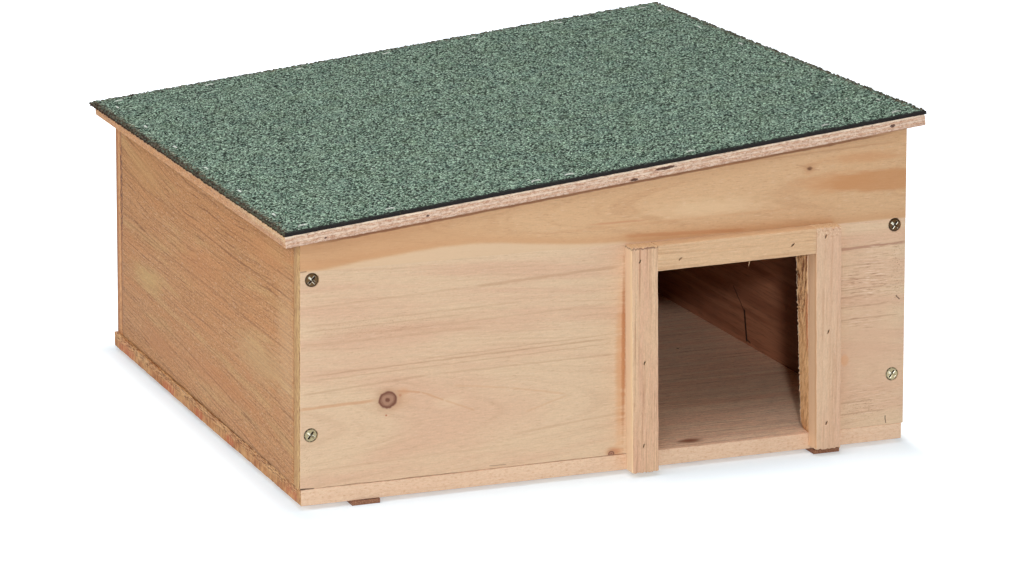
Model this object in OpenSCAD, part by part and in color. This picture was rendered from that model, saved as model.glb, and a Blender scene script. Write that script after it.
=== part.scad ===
// Hedgehog house: a low wooden box on two foot strips, with a framed doorway in its front wall,
// a partition that makes an entrance corridor, and a felted roof that slopes one way and lifts off.
// Every piece is drawn in house coordinates: X from the left wall's outer face, Y from the front
// wall's outer face, Z from the ground. placed() then puts the origin at the bottom centre of the
// box that holds the whole house.

/* [House body] */
// Width over the two side walls
house_w = 400; // [360:1:500]
// Depth over the front and back walls
house_d = 400; // [340:1:500]
// Thickness of the wall boards
wall_t = 12; // [10:0.5:16]
// Height of the lower wall boards that is left above the sawn doorway
over_door_h = 15.5; // [12:0.5:40]
// Height of the tapered upper wall boards at their low end
upper_low_h = 17.5; // [10:0.5:50]
// How much higher the right wall is than the left one
roof_rise = 40.8; // [10:0.1:90]

/* [Floor and feet] */
// Thickness of the floor boards
floor_t = 10; // [9:0.5:18]
// How far the floor's left edge, sawn out of square, stands out at the back
floor_skew = 3.5; // [0:0.5:6]
// How far the floor stands out behind the back wall
floor_back_over = 1.5; // [0:0.5:5]
// Thickness of the foot strips
foot_t = 3; // [2.5:0.5:20]
// Width of the foot strips
foot_w = 18; // [12:1:40]
// How far the foot strips stop short of the back wall's outer face
foot_back_in = 1; // [0:1:15]
// Distance of the left foot strip from the left wall's outer face
foot_left_in = 32; // [14:1:60]
// Distance of the right foot strip from the right wall's outer face
foot_right_in = 45; // [14:1:60]
// How far the left foot strip stands out at the front
foot_left_proud = 1; // [0:0.5:5]
// How far the right foot strip stands out at the front
foot_right_proud = 3.5; // [0:0.5:5]

/* [Doorway] */
// Clear width between the two posts
door_w = 108.5; // [90:0.5:130]
// Clear height from the floor to the lintel's left end
door_h = 117; // [90:0.5:150]
// Distance of the doorway from the right wall's outer face
door_side = 65; // [50:1:90]
// How far the wall's sawn edges stand inside the trim
saw_in = 1; // [0:0.1:2]
// Thickness of the trim battens
trim_t = 11; // [7:0.5:16]
// Width of the two posts
post_w = 17; // [14:0.5:24]
// How much higher the right post is fixed than the left one
post_right_raise = 1.8; // [0:0.1:3]
// Height of the lintel batten
lintel_h = 16; // [14:0.5:24]
// How much the lintel rises to its right end
lintel_rise = 1.6; // [0:0.1:2.5]

/* [Partition] */
// Width of the way round the partition's back end
passage_w = 130; // [110:1:160]
// How far the partition stands to the left of the clear doorway
partition_setback = 5; // [3:0.5:12]

/* [Roof] */
// Overhang of the roof board beyond each side wall, along the slope
roof_side_over = 9; // [6:0.5:40]
// Overhang of the roof board in front of the front wall
roof_front_over = 5; // [3:0.5:40]
// Overhang of the roof board behind the back wall
roof_back_over = 15; // [5:0.5:40]
// Thickness of the plywood roof board
roof_t = 7; // [6.5:0.5:15]
// Thickness of the roofing felt
felt_t = 2.2; // [1.5:0.1:5]
// How far the felt stands out behind the roof board
felt_back_over = 4; // [0:0.5:8]
// How far the felt's left edge drifts outward at the back
felt_left_skew = 2; // [0:0.5:4]
// Width of the battens under the roof
batten_w = 15; // [12:0.5:25]
// Depth of the battens under the roof
batten_h = 15; // [12.5:0.5:25]
// Room between the battens and the walls
batten_gap = 3; // [1:0.5:6]

/* [Wall screws] */
// How far the screws sit inward of the middle of the side walls
screw_off = 2.3; // [0:0.1:2.8]
// Height of the lower screws above the floor
screw_low_h = 33; // [10:1:50]
// Distance of the upper screws below the glued joint of the walls
screw_high_in = 5; // [4.5:0.5:12]
// Diameter of the screws
screw_d = 3.5; // [3:0.1:4]
// Diameter of the screw heads
screw_head_d = 8; // [6.5:0.1:8.6]
// Height of the countersunk screw heads
screw_head_h = 2.4; // [1.8:0.1:3]
// How deep the screws reach into the side walls
screw_bite = 18; // [12:1:30]
// Depth of the cross recess
recess_depth = 1.2; // [0.8:0.1:1.5]
// Width of each slot of the cross recess
recess_w = 0.9; // [0.6:0.1:1.2]
// Length of each slot of the cross recess
recess_len = 4.6; // [3.5:0.1:5]

/* [Trim brads] */
// Diameter of the brads
brad_d = 1.1; // [0.9:0.1:1.4]
// Length of the brads' narrow heads
brad_head_len = 2.6; // [2:0.1:3.5]
// Width of the brads' narrow heads
brad_head_w = 0.9; // [0.7:0.1:1.2]
// Height of the brads' narrow heads
brad_head_h = 1.2; // [0.8:0.1:2]
// How deep the heads are driven below the trim
brad_sink = 0.5; // [0.2:0.1:1]
// How deep the brads reach into the wall
brad_bite = 8; // [5:0.5:9]
// Slant of the heads in the posts, in degrees
post_brad_tilt = 20; // [0:1:90]
// Slant of the heads in the lintel, in degrees
lintel_brad_tilt = 50; // [0:1:90]

/* [Nails] */
// Diameter of the nails that hold the floor and the partition
nail_d = 1.8; // [1.4:0.1:2.4]
// Diameter of their heads
nail_head_d = 4; // [3:0.1:5]
// Height of their heads
nail_head_h = 0.8; // [0.5:0.1:1.2]
// How deep these nails reach into the walls and the partition
nail_bite = 20; // [14:1:30]
// Diameter of the small pins of the foot strips and the roof battens
pin_d = 1.4; // [1.1:0.1:1.8]
// Diameter of their heads
pin_head_d = 3; // [2.4:0.1:4]
// Height of their heads
pin_head_h = 0.5; // [0.4:0.1:1]
// How deep the pins reach into the floor
foot_pin_bite = 7; // [4:0.5:8.5]
// How deep the pins reach into the roof battens
batten_pin_bite = 10; // [6:0.5:12]
// How deep the heads of nails and pins are set below the wood's face
head_sink = 0.2; // [0.1:0.1:0.5]
// Distance of the end nails and pins from the ends of what they hold
end_in = 20; // [14:1:30]
// Height of the partition's lower nail above the floor
partition_nail_low = 40; // [35:1:50]
// Height of the partition's upper nail above the floor
partition_nail_high = 100; // [90:1:110]

/* [Staples] */
// Width of the staples' crowns
staple_w = 5.8; // [4:0.1:8]
// Width of the staple wire
wire_w = 1.2; // [0.8:0.1:1.5]
// Thickness of the staple wire
wire_t = 0.6; // [0.4:0.1:0.8]
// How deep the staples reach into the roof board
staple_bite = 5; // [3:0.5:6]
// Distance of the staple rows from the roof board's edges
staple_edge = 9; // [6:0.5:12]
// Distance of the front and back rows' end staples from the sides
row_end_in = 15; // [14:0.5:25]
// Distance of the first side staples from the front edge
side_first_in = 46; // [30:1:60]
// Distance of the last side staples from the back edge
side_last_in = 27; // [20:1:50]
// Usual distance between two staples
staple_pitch = 70; // [50:1:110]

/* [Hidden] */
$fn = 48;

// Room between each fastener and its hole, and how far a cut runs past a face
hole_gap = 0.05;
mouth = 1;

// Levels above the ground
floor_top = foot_t + floor_t;
lower_board_h = door_h + saw_in + over_door_h;
joint_z = floor_top + lower_board_h;
low_top = joint_z + upper_low_h;
high_top = low_top + roof_rise;
lintel_z = floor_top + door_h;
post_len = floor_t + door_h + lintel_h;

// The doorway's edges
door_right = house_w - door_side;
door_x = door_right - door_w;
saw_left = door_x + saw_in;
saw_right = door_right - saw_in;

// The floor's three boards, edge to edge
floor_len = house_d + floor_back_over;
floor_board_w = floor_len / 3;

// The foot strips' left edges
foot_left_x = foot_left_in;
foot_right_x = house_w - foot_right_in - foot_w;

// The partition
partition_x = door_x - partition_setback - wall_t;
partition_len = house_d - 2 * wall_t - passage_w;

// The roof's slope, and the roof's edges as distances along the slope
slope = atan(roof_rise / house_w);
roof_left = -roof_side_over;
roof_right = house_w / cos(slope) + roof_side_over;
roof_w = roof_right - roof_left;
roof_d = roof_front_over + house_d + roof_back_over;
roof_back = house_d + roof_back_over;
felt_top = roof_t + felt_t;

// The roof battens' left edges along the slope, and their length
wall_room = wall_t + batten_gap;
batten_left_s = wall_room / cos(slope);
batten_right_s = (house_w - wall_room - batten_h * sin(slope)) / cos(slope) - batten_w;
batten_len = house_d - 2 * wall_room;

// The slender points of screws
tip_len = 4;
tip_d = 0.4;

// Places of the trim's brads: distance from the post's left edge and height above the floor,
// then distance from the doorway's left side and height above the lintel's left end
post_left_brads = [[8.5, 7.5], [8.5, 60], [5, door_h + 7]];
post_right_brads = [[7, 9], [7, 68], [4, door_h + 12]];
lintel_brads = [[14.5, 6.5], [door_w - 18.5, 8.5]];

// Places of the nails and pins
front_nail_x = [end_in, (end_in + partition_x) / 2, partition_x - end_in, (door_right + house_w) / 2];
back_nail_x = [for (i = [0 : 4]) end_in + i * (house_w - 2 * end_in) / 4];
side_nail_y = [for (i = [0 : 2]) (i + 0.5) * floor_board_w];
partition_nail_y = [for (i = [0 : 1]) (i + 0.5) * floor_board_w];
foot_pin_y = [for (i = [0 : 5]) (i + 0.5) * floor_board_w / 2];
batten_pin_y = [for (i = [0 : 3]) wall_room + end_in + i * (batten_len - 2 * end_in) / 3];

// The front staples are unevenly spaced, as shares of their row
front_staple_shares = [0, 0.14, 0.38, 0.435, 0.64, 0.875, 1];

// The box that holds the whole house, seen from above
reach_left = (roof_left - felt_left_skew) * cos(slope) - felt_top * sin(slope);
reach_right = roof_right * cos(slope);
reach_front = -max(trim_t, roof_front_over, foot_right_proud);
reach_back = roof_back + felt_back_over;

timber = [0.84, 0.69, 0.53];
warm_timber = [0.78, 0.6, 0.42];
dark_strip = [0.42, 0.27, 0.19];
plywood = [0.86, 0.7, 0.58];
felt_green = [0.4, 0.52, 0.45];
yellow_zinc = [0.66, 0.6, 0.36];
steel_grey = [0.55, 0.55, 0.56];

// How many equal steps of about the usual pitch fit into a length
function steps(length) = max(1, round(length / staple_pitch));

// Height of the roof board's underside
function roof_under(x) = low_top + x * tan(slope);

// The floor's left edge runs outward towards the back
function floor_edge_x(y) = -floor_skew * y / floor_len;

module placed() {
    translate([-(reach_left + reach_right) / 2, -(reach_front + reach_back) / 2, 0]) children();
}

// Roof coordinates: X up the slope from above the left wall's outer face, Z square to the roof
module on_roof() {
    placed() translate([0, 0, low_top]) rotate([0, -slope, 0]) children();
}

// An outline of X and Z points, drawn out from y0 to y1
module along_y(y0, y1, points) {
    translate([0, y1, 0]) rotate([90, 0, 0]) linear_extrude(height = y1 - y0) polygon(points);
}

// Fasteners point along -Z from the middle of their head's top. With room they are the holes that
// hold them, open above the head.
module screw_shape(room = 0) {
    screw_len = wall_t + screw_bite;
    shank_r = screw_d / 2 + room;
    head_r = screw_head_d / 2 + room;
    translate([0, 0, -screw_head_h]) cylinder(h = screw_head_h, r1 = shank_r, r2 = head_r);
    translate([0, 0, tip_len - screw_len])
        cylinder(h = screw_len - tip_len - screw_head_h, r = shank_r);
    translate([0, 0, -screw_len - room])
        cylinder(h = tip_len + room, r1 = tip_d / 2 + room, r2 = shank_r);
    if (room > 0) cylinder(h = mouth, r = head_r);
}

module cross_recess() {
    for (turn = [45, 135])
        rotate([0, 0, turn])
            translate([-recess_len / 2, -recess_w / 2, -recess_depth])
                cube([recess_len, recess_w, recess_depth + mouth]);
}

module nail_shape(length, d, head_d, head_h, room = 0) {
    opening = room > 0 ? mouth : 0;
    translate([0, 0, -head_h - room]) cylinder(h = head_h + room + opening, r = head_d / 2 + room);
    translate([0, 0, -length - room]) cylinder(h = length - head_h / 2, r = d / 2 + room);
}

module brad_shape(room = 0) {
    brad_len = trim_t - brad_sink + brad_bite;
    opening = room > 0 ? mouth : 0;
    translate([-brad_head_w / 2 - room, -brad_head_len / 2 - room, -brad_head_h - room])
        cube([brad_head_w + 2 * room, brad_head_len + 2 * room, brad_head_h + room + opening]);
    translate([0, 0, -brad_len - room])
        cylinder(h = brad_len - brad_head_h / 2, r = brad_d / 2 + room);
}

module staple_shape(room = 0) {
    opening = room > 0 ? mouth : 0;
    leg_len = felt_t + staple_bite + room;
    for (x = [-staple_w / 2, staple_w / 2 - wire_t])
        translate([x - room, -wire_w / 2 - room, felt_top - leg_len])
            cube([wire_t + 2 * room, wire_w + 2 * room, leg_len + opening]);
    if (room == 0)
        translate([-staple_w / 2, -wire_w / 2, felt_top]) cube([staple_w, wire_w, wire_t]);
}

// Four screws through a wall's ends, each drawn at the origin as above
module wall_screws(y, turn, room) {
    side_in = wall_t / 2 + screw_off;
    for (x = [side_in, house_w - side_in], z = [floor_top + screw_low_h, joint_z - screw_high_in])
        translate([x, y, z]) rotate([turn, 0, 0]) difference() {
            screw_shape(room);
            if (room == 0) cross_recess();
        }
}

module front_screws(room = 0) {
    wall_screws(0, 90, room);
}

module back_screws(room = 0) {
    wall_screws(house_d, -90, room);
}

module trim_brad(x, z, tilt, room) {
    translate([x, brad_sink - trim_t, z]) rotate([90, -tilt, 0]) brad_shape(room);
}

module trim_brads(room = 0) {
    for (place = post_left_brads)
        trim_brad(door_x - post_w + place[0], floor_top + place[1], post_brad_tilt, room);
    for (place = post_right_brads)
        trim_brad(door_right + place[0], floor_top + place[1], post_brad_tilt, room);
    for (place = lintel_brads)
        trim_brad(door_x + place[0], lintel_z + place[1], lintel_brad_tilt, room);
}

module upward_nail(x, y, room) {
    translate([x, y, foot_t + head_sink]) rotate([180, 0, 0])
        nail_shape(floor_t - head_sink + nail_bite, nail_d, nail_head_d, nail_head_h, room);
}

module wall_floor_nails(room = 0) {
    for (x = front_nail_x) upward_nail(x, wall_t / 2, room);
    for (x = back_nail_x) upward_nail(x, house_d - wall_t / 2, room);
    for (x = [wall_t / 2, house_w - wall_t / 2], y = side_nail_y) upward_nail(x, y, room);
}

module partition_holders(room = 0) {
    x = partition_x + wall_t / 2;
    for (y = partition_nail_y) upward_nail(x, y, room);
    for (h = [partition_nail_low, partition_nail_high])
        translate([x, head_sink, floor_top + h]) rotate([90, 0, 0])
            nail_shape(wall_t - head_sink + nail_bite, nail_d, nail_head_d, nail_head_h, room);
}

module foot_pins(room = 0) {
    for (x = [foot_left_x, foot_right_x], y = foot_pin_y)
        translate([x + foot_w / 2, y, head_sink]) rotate([180, 0, 0])
            nail_shape(foot_t - head_sink + foot_pin_bite, pin_d, pin_head_d, pin_head_h, room);
}

module batten_pins(room = 0) {
    for (s = [batten_left_s, batten_right_s], y = batten_pin_y)
        translate([s + batten_w / 2, y, roof_t - head_sink])
            nail_shape(roof_t - head_sink + batten_pin_bite, pin_d, pin_head_d, pin_head_h, room);
}

module staples(room = 0) {
    row_w = roof_w - 2 * row_end_in;
    side_d = roof_d - side_first_in - side_last_in;
    back_steps = steps(row_w);
    side_steps = steps(side_d);
    for (share = front_staple_shares)
        translate([roof_left + row_end_in + share * row_w, -roof_front_over + staple_edge, 0])
            staple_shape(room);
    for (i = [0 : back_steps])
        translate([roof_left + row_end_in + i * row_w / back_steps, roof_back - staple_edge, 0])
            staple_shape(room);
    for (s = [roof_left + staple_edge, roof_right - staple_edge], i = [0 : side_steps])
        translate([s, -roof_front_over + side_first_in + i * side_d / side_steps, 0])
            rotate([0, 0, 90]) staple_shape(room);
}

// Feet and floor
module foot_strip(x, proud) {
    placed() difference() {
        translate([x, -proud, 0]) cube([foot_w, house_d - foot_back_in + proud, foot_t]);
        foot_pins(hole_gap);
    }
}

module foot_strip_left() {
    color(dark_strip) foot_strip(foot_left_x, foot_left_proud);
}

module foot_strip_right() {
    color(dark_strip) foot_strip(foot_right_x, foot_right_proud);
}

module floor_board(index) {
    y0 = index * floor_board_w;
    y1 = y0 + floor_board_w;
    placed() difference() {
        translate([0, 0, foot_t])
            linear_extrude(height = floor_t)
                polygon([[floor_edge_x(y0), y0], [house_w, y0], [house_w, y1], [floor_edge_x(y1), y1]]);
        wall_floor_nails(hole_gap);
        partition_holders(hole_gap);
        foot_pins(hole_gap);
    }
}

module floor_board_front() {
    color(timber) floor_board(0);
}

module floor_board_middle() {
    color(timber) floor_board(1);
}

module floor_board_rear() {
    color(timber) floor_board(2);
}

// Front and back walls, each of a straight lower board and a tapered upper one
module end_wall_lower(y0) {
    translate([0, y0, floor_top]) cube([house_w, wall_t, lower_board_h]);
}

module end_wall_upper(y0) {
    placed() along_y(y0, y0 + wall_t,
        [[0, joint_z], [house_w, joint_z], [house_w, high_top], [0, low_top]]);
}

module front_wall_lower_board() {
    color(timber) placed() difference() {
        end_wall_lower(0);
        translate([saw_left, -mouth, floor_top - mouth])
            cube([saw_right - saw_left, wall_t + 2 * mouth, door_h + saw_in + mouth]);
        front_screws(hole_gap);
        trim_brads(hole_gap);
        wall_floor_nails(hole_gap);
        partition_holders(hole_gap);
    }
}

module front_wall_upper_board() {
    color(warm_timber) end_wall_upper(0);
}

module back_wall_lower_board() {
    color(timber) placed() difference() {
        end_wall_lower(house_d - wall_t);
        back_screws(hole_gap);
        wall_floor_nails(hole_gap);
    }
}

module back_wall_upper_board() {
    color(warm_timber) end_wall_upper(house_d - wall_t);
}

// Side walls stand between the front and back walls, and their tops follow the slope
module side_wall(x, bottom, top_left, top_right) {
    placed() difference() {
        along_y(wall_t, house_d - wall_t,
            [[x, bottom], [x + wall_t, bottom], [x + wall_t, top_right], [x, top_left]]);
        front_screws(hole_gap);
        back_screws(hole_gap);
        wall_floor_nails(hole_gap);
    }
}

module left_wall_board() {
    color(warm_timber) side_wall(0, floor_top, low_top, roof_under(wall_t));
}

module right_wall_lower_board() {
    color(timber) side_wall(house_w - wall_t, floor_top, joint_z, joint_z);
}

module right_wall_upper_board() {
    color(warm_timber)
        side_wall(house_w - wall_t, joint_z, roof_under(house_w - wall_t), high_top);
}

// The partition is as high as the left wall and leaves a way round its back end
module partition_board() {
    color(timber) placed() difference() {
        translate([partition_x, wall_t, floor_top])
            cube([wall_t, partition_len, lower_board_h + upper_low_h]);
        partition_holders(hole_gap);
    }
}

// Trim round the doorway
module door_post(x, z) {
    placed() difference() {
        translate([x, -trim_t, z]) cube([post_w, trim_t, post_len]);
        trim_brads(hole_gap);
    }
}

module door_post_left() {
    color(timber) door_post(door_x - post_w, foot_t);
}

module door_post_right() {
    color(timber) door_post(door_right, foot_t + post_right_raise);
}

module door_lintel() {
    color(timber) placed() difference() {
        along_y(-trim_t, 0,
            [[door_x, lintel_z], [door_right, lintel_z + lintel_rise],
             [door_right, lintel_z + lintel_rise + lintel_h], [door_x, lintel_z + lintel_h]]);
        trim_brads(hole_gap);
    }
}

// Roof board, its felt and the two battens that keep it from sliding off the walls
module roof_board() {
    color(plywood) on_roof() difference() {
        translate([roof_left, -roof_front_over, 0]) cube([roof_w, roof_d, roof_t]);
        batten_pins(hole_gap);
        staples(hole_gap);
    }
}

module roof_felt() {
    color(felt_green) on_roof() difference() {
        translate([0, 0, roof_t])
            linear_extrude(height = felt_t)
                polygon([[roof_left, -roof_front_over], [roof_right, -roof_front_over],
                         [roof_right, roof_back + felt_back_over],
                         [roof_left - felt_left_skew, roof_back + felt_back_over]]);
        staples(hole_gap);
    }
}

module roof_batten(s) {
    on_roof() difference() {
        translate([s, wall_room, -batten_h]) cube([batten_w, batten_len, batten_h]);
        batten_pins(hole_gap);
    }
}

module roof_batten_left() {
    color(timber) roof_batten(batten_left_s);
}

module roof_batten_right() {
    color(timber) roof_batten(batten_right_s);
}

// Fasteners
module front_wall_screws() {
    color(yellow_zinc) placed() front_screws();
}

module back_wall_screws() {
    color(yellow_zinc) placed() back_screws();
}

module door_trim_brads() {
    color(steel_grey) placed() trim_brads();
}

module floor_nails() {
    color(steel_grey) placed() wall_floor_nails();
}

module partition_nails() {
    color(steel_grey) placed() partition_holders();
}

module foot_strip_pins() {
    color(steel_grey) placed() foot_pins();
}

module roof_batten_pins() {
    color(steel_grey) on_roof() batten_pins();
}

module felt_staples() {
    color(steel_grey) on_roof() staples();
}

foot_strip_left();
foot_strip_right();
floor_board_front();
floor_board_middle();
floor_board_rear();
front_wall_lower_board();
front_wall_upper_board();
back_wall_lower_board();
back_wall_upper_board();
left_wall_board();
right_wall_lower_board();
right_wall_upper_board();
partition_board();
door_post_left();
door_post_right();
door_lintel();
roof_board();
roof_felt();
roof_batten_left();
roof_batten_right();
front_wall_screws();
back_wall_screws();
door_trim_brads();
floor_nails();
partition_nails();
foot_strip_pins();
roof_batten_pins();
felt_staples();
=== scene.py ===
import math
import random
from dataclasses import dataclass

import bmesh
import bpy
from bmesh.types import BMEdge, BMFace, BMVert
from mathutils import Matrix, Vector, noise


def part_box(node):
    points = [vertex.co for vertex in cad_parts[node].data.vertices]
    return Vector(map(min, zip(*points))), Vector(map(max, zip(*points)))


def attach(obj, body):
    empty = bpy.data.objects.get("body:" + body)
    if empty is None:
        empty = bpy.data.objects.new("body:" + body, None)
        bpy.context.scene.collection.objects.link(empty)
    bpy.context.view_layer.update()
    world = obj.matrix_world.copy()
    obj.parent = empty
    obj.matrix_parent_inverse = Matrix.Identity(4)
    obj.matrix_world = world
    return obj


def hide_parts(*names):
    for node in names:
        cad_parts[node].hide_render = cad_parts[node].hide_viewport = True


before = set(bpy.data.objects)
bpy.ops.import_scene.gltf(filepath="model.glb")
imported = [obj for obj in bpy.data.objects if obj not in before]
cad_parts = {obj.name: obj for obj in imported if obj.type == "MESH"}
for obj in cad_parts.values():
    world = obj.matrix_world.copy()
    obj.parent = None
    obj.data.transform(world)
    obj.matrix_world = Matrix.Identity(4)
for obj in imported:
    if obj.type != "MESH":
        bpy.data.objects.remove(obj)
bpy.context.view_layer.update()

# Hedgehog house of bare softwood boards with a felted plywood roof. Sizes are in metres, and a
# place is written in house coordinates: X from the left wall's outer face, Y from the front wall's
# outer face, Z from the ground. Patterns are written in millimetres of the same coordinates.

MM = 0.001
# Blender seeds its vector noise from the clock unless it is told a seed
noise.seed_set(3)


# Sizes read from the frame
HOUSE = Vector((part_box("front_wall_lower_board")[0].x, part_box("front_wall_lower_board")[0].y, 0))


def house_box(node):
    """A node's lowest and highest corners in house coordinates."""
    low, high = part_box(node)
    return low - HOUSE, high - HOUSE


HOUSE_W, WALL_T, JOINT_Z = house_box("front_wall_lower_board")[1]
FLOOR_TOP = house_box("front_wall_lower_board")[0].z
HOUSE_D = house_box("back_wall_lower_board")[1].y
HIGH_TOP = house_box("right_wall_upper_board")[1].z
FLOOR_BACK = house_box("floor_board_rear")[1].y
FLOOR_SKEW = -house_box("floor_board_rear")[0].x
DOOR_LEFT, TRIM_FACE, LINTEL_FOOT = house_box("door_lintel")[0]
DOOR_RIGHT = house_box("door_lintel")[1].x
SAW_IN = 1 * MM
SAW_TOP = LINTEL_FOOT + SAW_IN

# The roof board's and the felt's thickness, and how far the felt stands out at the left and the back
ROOF_T = 7 * MM
FELT_T = 2.2 * MM
FELT_BACK_OVER = house_box("roof_felt")[1].y - house_box("roof_board")[1].y
FELT_LEFT_SKEW = 2 * MM

# The slope of the roof, from the two side walls' tops
SLOPE_TAN = (HIGH_TOP - house_box("left_wall_board")[1].z) / (HOUSE_W - WALL_T)
LOW_TOP = HIGH_TOP - HOUSE_W * SLOPE_TAN
SLOPE = math.atan(SLOPE_TAN)
ROOF_MID = HOUSE_W / 2 / math.cos(SLOPE)
ROOF_LOW, ROOF_HIGH = house_box("roof_board")
ROOF_W = (ROOF_HIGH.x - ROOF_LOW.x - ROOF_T * math.sin(SLOPE)) / math.cos(SLOPE)
ROOF_LEFT = ROOF_MID - ROOF_W / 2 + 0.5 * MM
ROOF_RIGHT = ROOF_MID + ROOF_W / 2
ROOF_FRONT, ROOF_BACK = ROOF_LOW.y, ROOF_HIGH.y
ON_ROOF = Matrix.Translation(HOUSE + Vector((0, 0, LOW_TOP))) @ Matrix.Rotation(-SLOPE, 4, "Y")
BOARD_BACK = ROOF_BACK + 1.5 * MM
BOARD_RIGHT = ROOF_RIGHT + 0.1 * MM
FELT_BACK = ROOF_BACK + FELT_BACK_OVER + 2 * MM
FELT_RIGHT = ROOF_RIGHT + 1.3 * MM


def felt_left(y):
    """The felt's left edge along the slope, which drifts outward towards the back."""
    return ROOF_LEFT - FELT_LEFT_SKEW * (y - ROOF_FRONT) / (FELT_BACK - ROOF_FRONT)


# Colours, from eight-bit screen values
def tone(red, green, blue):
    """A linear colour from the screen values that an eye would pick."""
    def linear(value):
        share = value / 255
        return share / 12.92 if share <= 0.04045 else ((share + 0.055) / 1.055) ** 2.4
    return (linear(red), linear(green), linear(blue), 1)


class Tree:
    """Short calls for building the nodes of one material, or of the studio's world."""

    def __init__(self, name, kept_in=bpy.data.materials):
        self.owner = kept_in.new(name)
        self.owner.use_nodes = True
        self.nodes = self.owner.node_tree.nodes
        self.links = self.owner.node_tree.links
        self.nodes.clear()

    def node(self, kind, inputs, **settings):
        made = self.nodes.new("ShaderNode" + kind)
        for key, value in settings.items():
            setattr(made, key, value)
        for key, value in inputs.items():
            if isinstance(value, bpy.types.NodeSocket):
                self.links.new(value, made.inputs[key])
            else:
                made.inputs[key].default_value = value
        return made

    def math(self, operation, *values):
        return self.node("Math", dict(enumerate(values)), operation=operation).outputs[0]

    def add(self, first, *others):
        for other in others:
            first = self.math("ADD", first, other)
        return first

    def times(self, first, *others):
        for other in others:
            first = self.math("MULTIPLY", first, other)
        return first

    def minus(self, first, second):
        return self.math("SUBTRACT", first, second)

    def over(self, first, second):
        return self.math("DIVIDE", first, second)

    def size_of(self, value):
        return self.math("ABSOLUTE", value)

    def most(self, first, second):
        return self.math("MAXIMUM", first, second)

    def vector(self, x, y, z):
        return self.node("CombineXYZ", {"X": x, "Y": y, "Z": z}).outputs[0]

    def noise(self, vector, scale=1.0, detail=2.0, roughness=0.5):
        made = self.node("TexNoise", {"Vector": vector, "Scale": scale, "Detail": detail,
                                      "Roughness": roughness, "Distortion": 0.0})
        return made.outputs[0]

    def cloud(self, *place, **settings):
        """Noise at a place, where each coordinate may be a value with its scale and its shift."""
        parts = [self.add(self.times(*part[:2]), *part[2:]) if isinstance(part, tuple) else part
                 for part in place]
        return self.noise(self.vector(*parts), **settings)

    def between(self, value, low, high, out_low=0.0, out_high=1.0):
        """A smooth step of a value between two limits."""
        made = self.node("MapRange", {"Value": value, "From Min": low, "From Max": high,
                                      "To Min": out_low, "To Max": out_high},
                         interpolation_type="SMOOTHSTEP")
        return made.outputs[0]

    def where(self, *shares):
        """The product of shares, where a tuple stands for the smooth step that between gives."""
        return self.times(*(self.between(*share) if isinstance(share, tuple) else share for share in shares))

    def mix(self, share, first, second, blend="MIX"):
        made = self.node("Mix", {0: share, 6: first, 7: second}, data_type="RGBA", blend_type=blend)
        return made.outputs[2]

    def paint(self, colour, coat, *shares):
        """Lays a coat over a colour, as strongly as the product of the shares says."""
        return self.mix(self.where(*shares), colour, coat)

    def blend(self, share, first, second):
        """A plain value between two others."""
        return self.node("Mix", {0: share, 2: first, 3: second}, data_type="FLOAT").outputs[0]

    def house_mm(self):
        """Separate house coordinates in millimetres."""
        place = self.node("TexCoord", {}).outputs["Object"]
        scaled = self.node("Mapping", {"Vector": place, "Location": -HOUSE / MM, "Scale": (1 / MM,) * 3})
        parts = self.node("SeparateXYZ", {"Vector": scaled.outputs[0]})
        return parts.outputs["X"], parts.outputs["Y"], parts.outputs["Z"]

    def facing(self, axis):
        """How squarely a face looks along one axis, from 0 to 1."""
        normal = self.node("TexCoord", {}).outputs["Normal"]
        return self.size_of(self.node("SeparateXYZ", {"Vector": normal}).outputs[axis])

    def surface(self, colour, roughness, bump, bump_height, specular=0.2, metal=0.0):
        """The shader, with a bump from one height between 0 and 1."""
        raised = self.node("Bump", {"Height": bump, "Distance": bump_height, "Strength": 1.0})
        shader = self.node("BsdfPrincipled", {
            "Base Color": colour, "Roughness": roughness, "Specular IOR Level": specular,
            "Metallic": metal, "Normal": raised.outputs[0]})
        self.node("OutputMaterial", {"Surface": shader.outputs[0]})
        return self.owner


# Finishes of bare wood
@dataclass
class Grain:
    """How one board was cut from its log, and what marks it. Places are along and across the board."""

    along: str
    across: str
    pale: tuple
    late: tuple
    # Where the log's middle lies across the board and behind its face
    heart: tuple
    # A year's growth, then how strong and how narrow its dark line is, and how much of it is broken
    gap: float = 6.0
    lines: float = 0.5
    sharp: float = 0.35
    broken: float = 0.45
    taper: float = 0.0
    sway: float = 9.0
    blush: tuple = None
    blush_share: float = 0.5
    fibre: float = 0.05
    fine: float = 0.3
    dashes: float = 0.25
    seed: float = 0.0
    # Bands where the grain fans out: from and to across the board, the slope, and the start along it
    fan: tuple = ()
    # Knots: the middle, the radius, and the tones of ring and core
    knots: tuple = ()
    # Marks: the middle, the two radii, the tone, the strength and the softness
    marks: tuple = ()
    # Streaks: both ends, the width, the tone and the strength
    streaks: tuple = ()
    # Pitted and rippled places: the middle, the two radii and the strength
    pitted: tuple = ()
    rippled: tuple = ()
    end: tuple = None
    end_light: tuple = None
    end_share: float = 0.75


def spot_distance(tree, u, v, centre, radii):
    """Distance from a spot's centre, as a share of its radii."""
    across = tree.over(tree.minus(u, centre[0]), radii[0])
    up = tree.over(tree.minus(v, centre[1]), radii[1])
    return tree.math("SQRT", tree.add(tree.times(across, across), tree.times(up, up)))


def centred(tree, value, reach=1):
    """Turns a noise between 0 and 1 into one around 0."""
    return tree.times(tree.minus(value, 0.5), 2 * reach)


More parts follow.
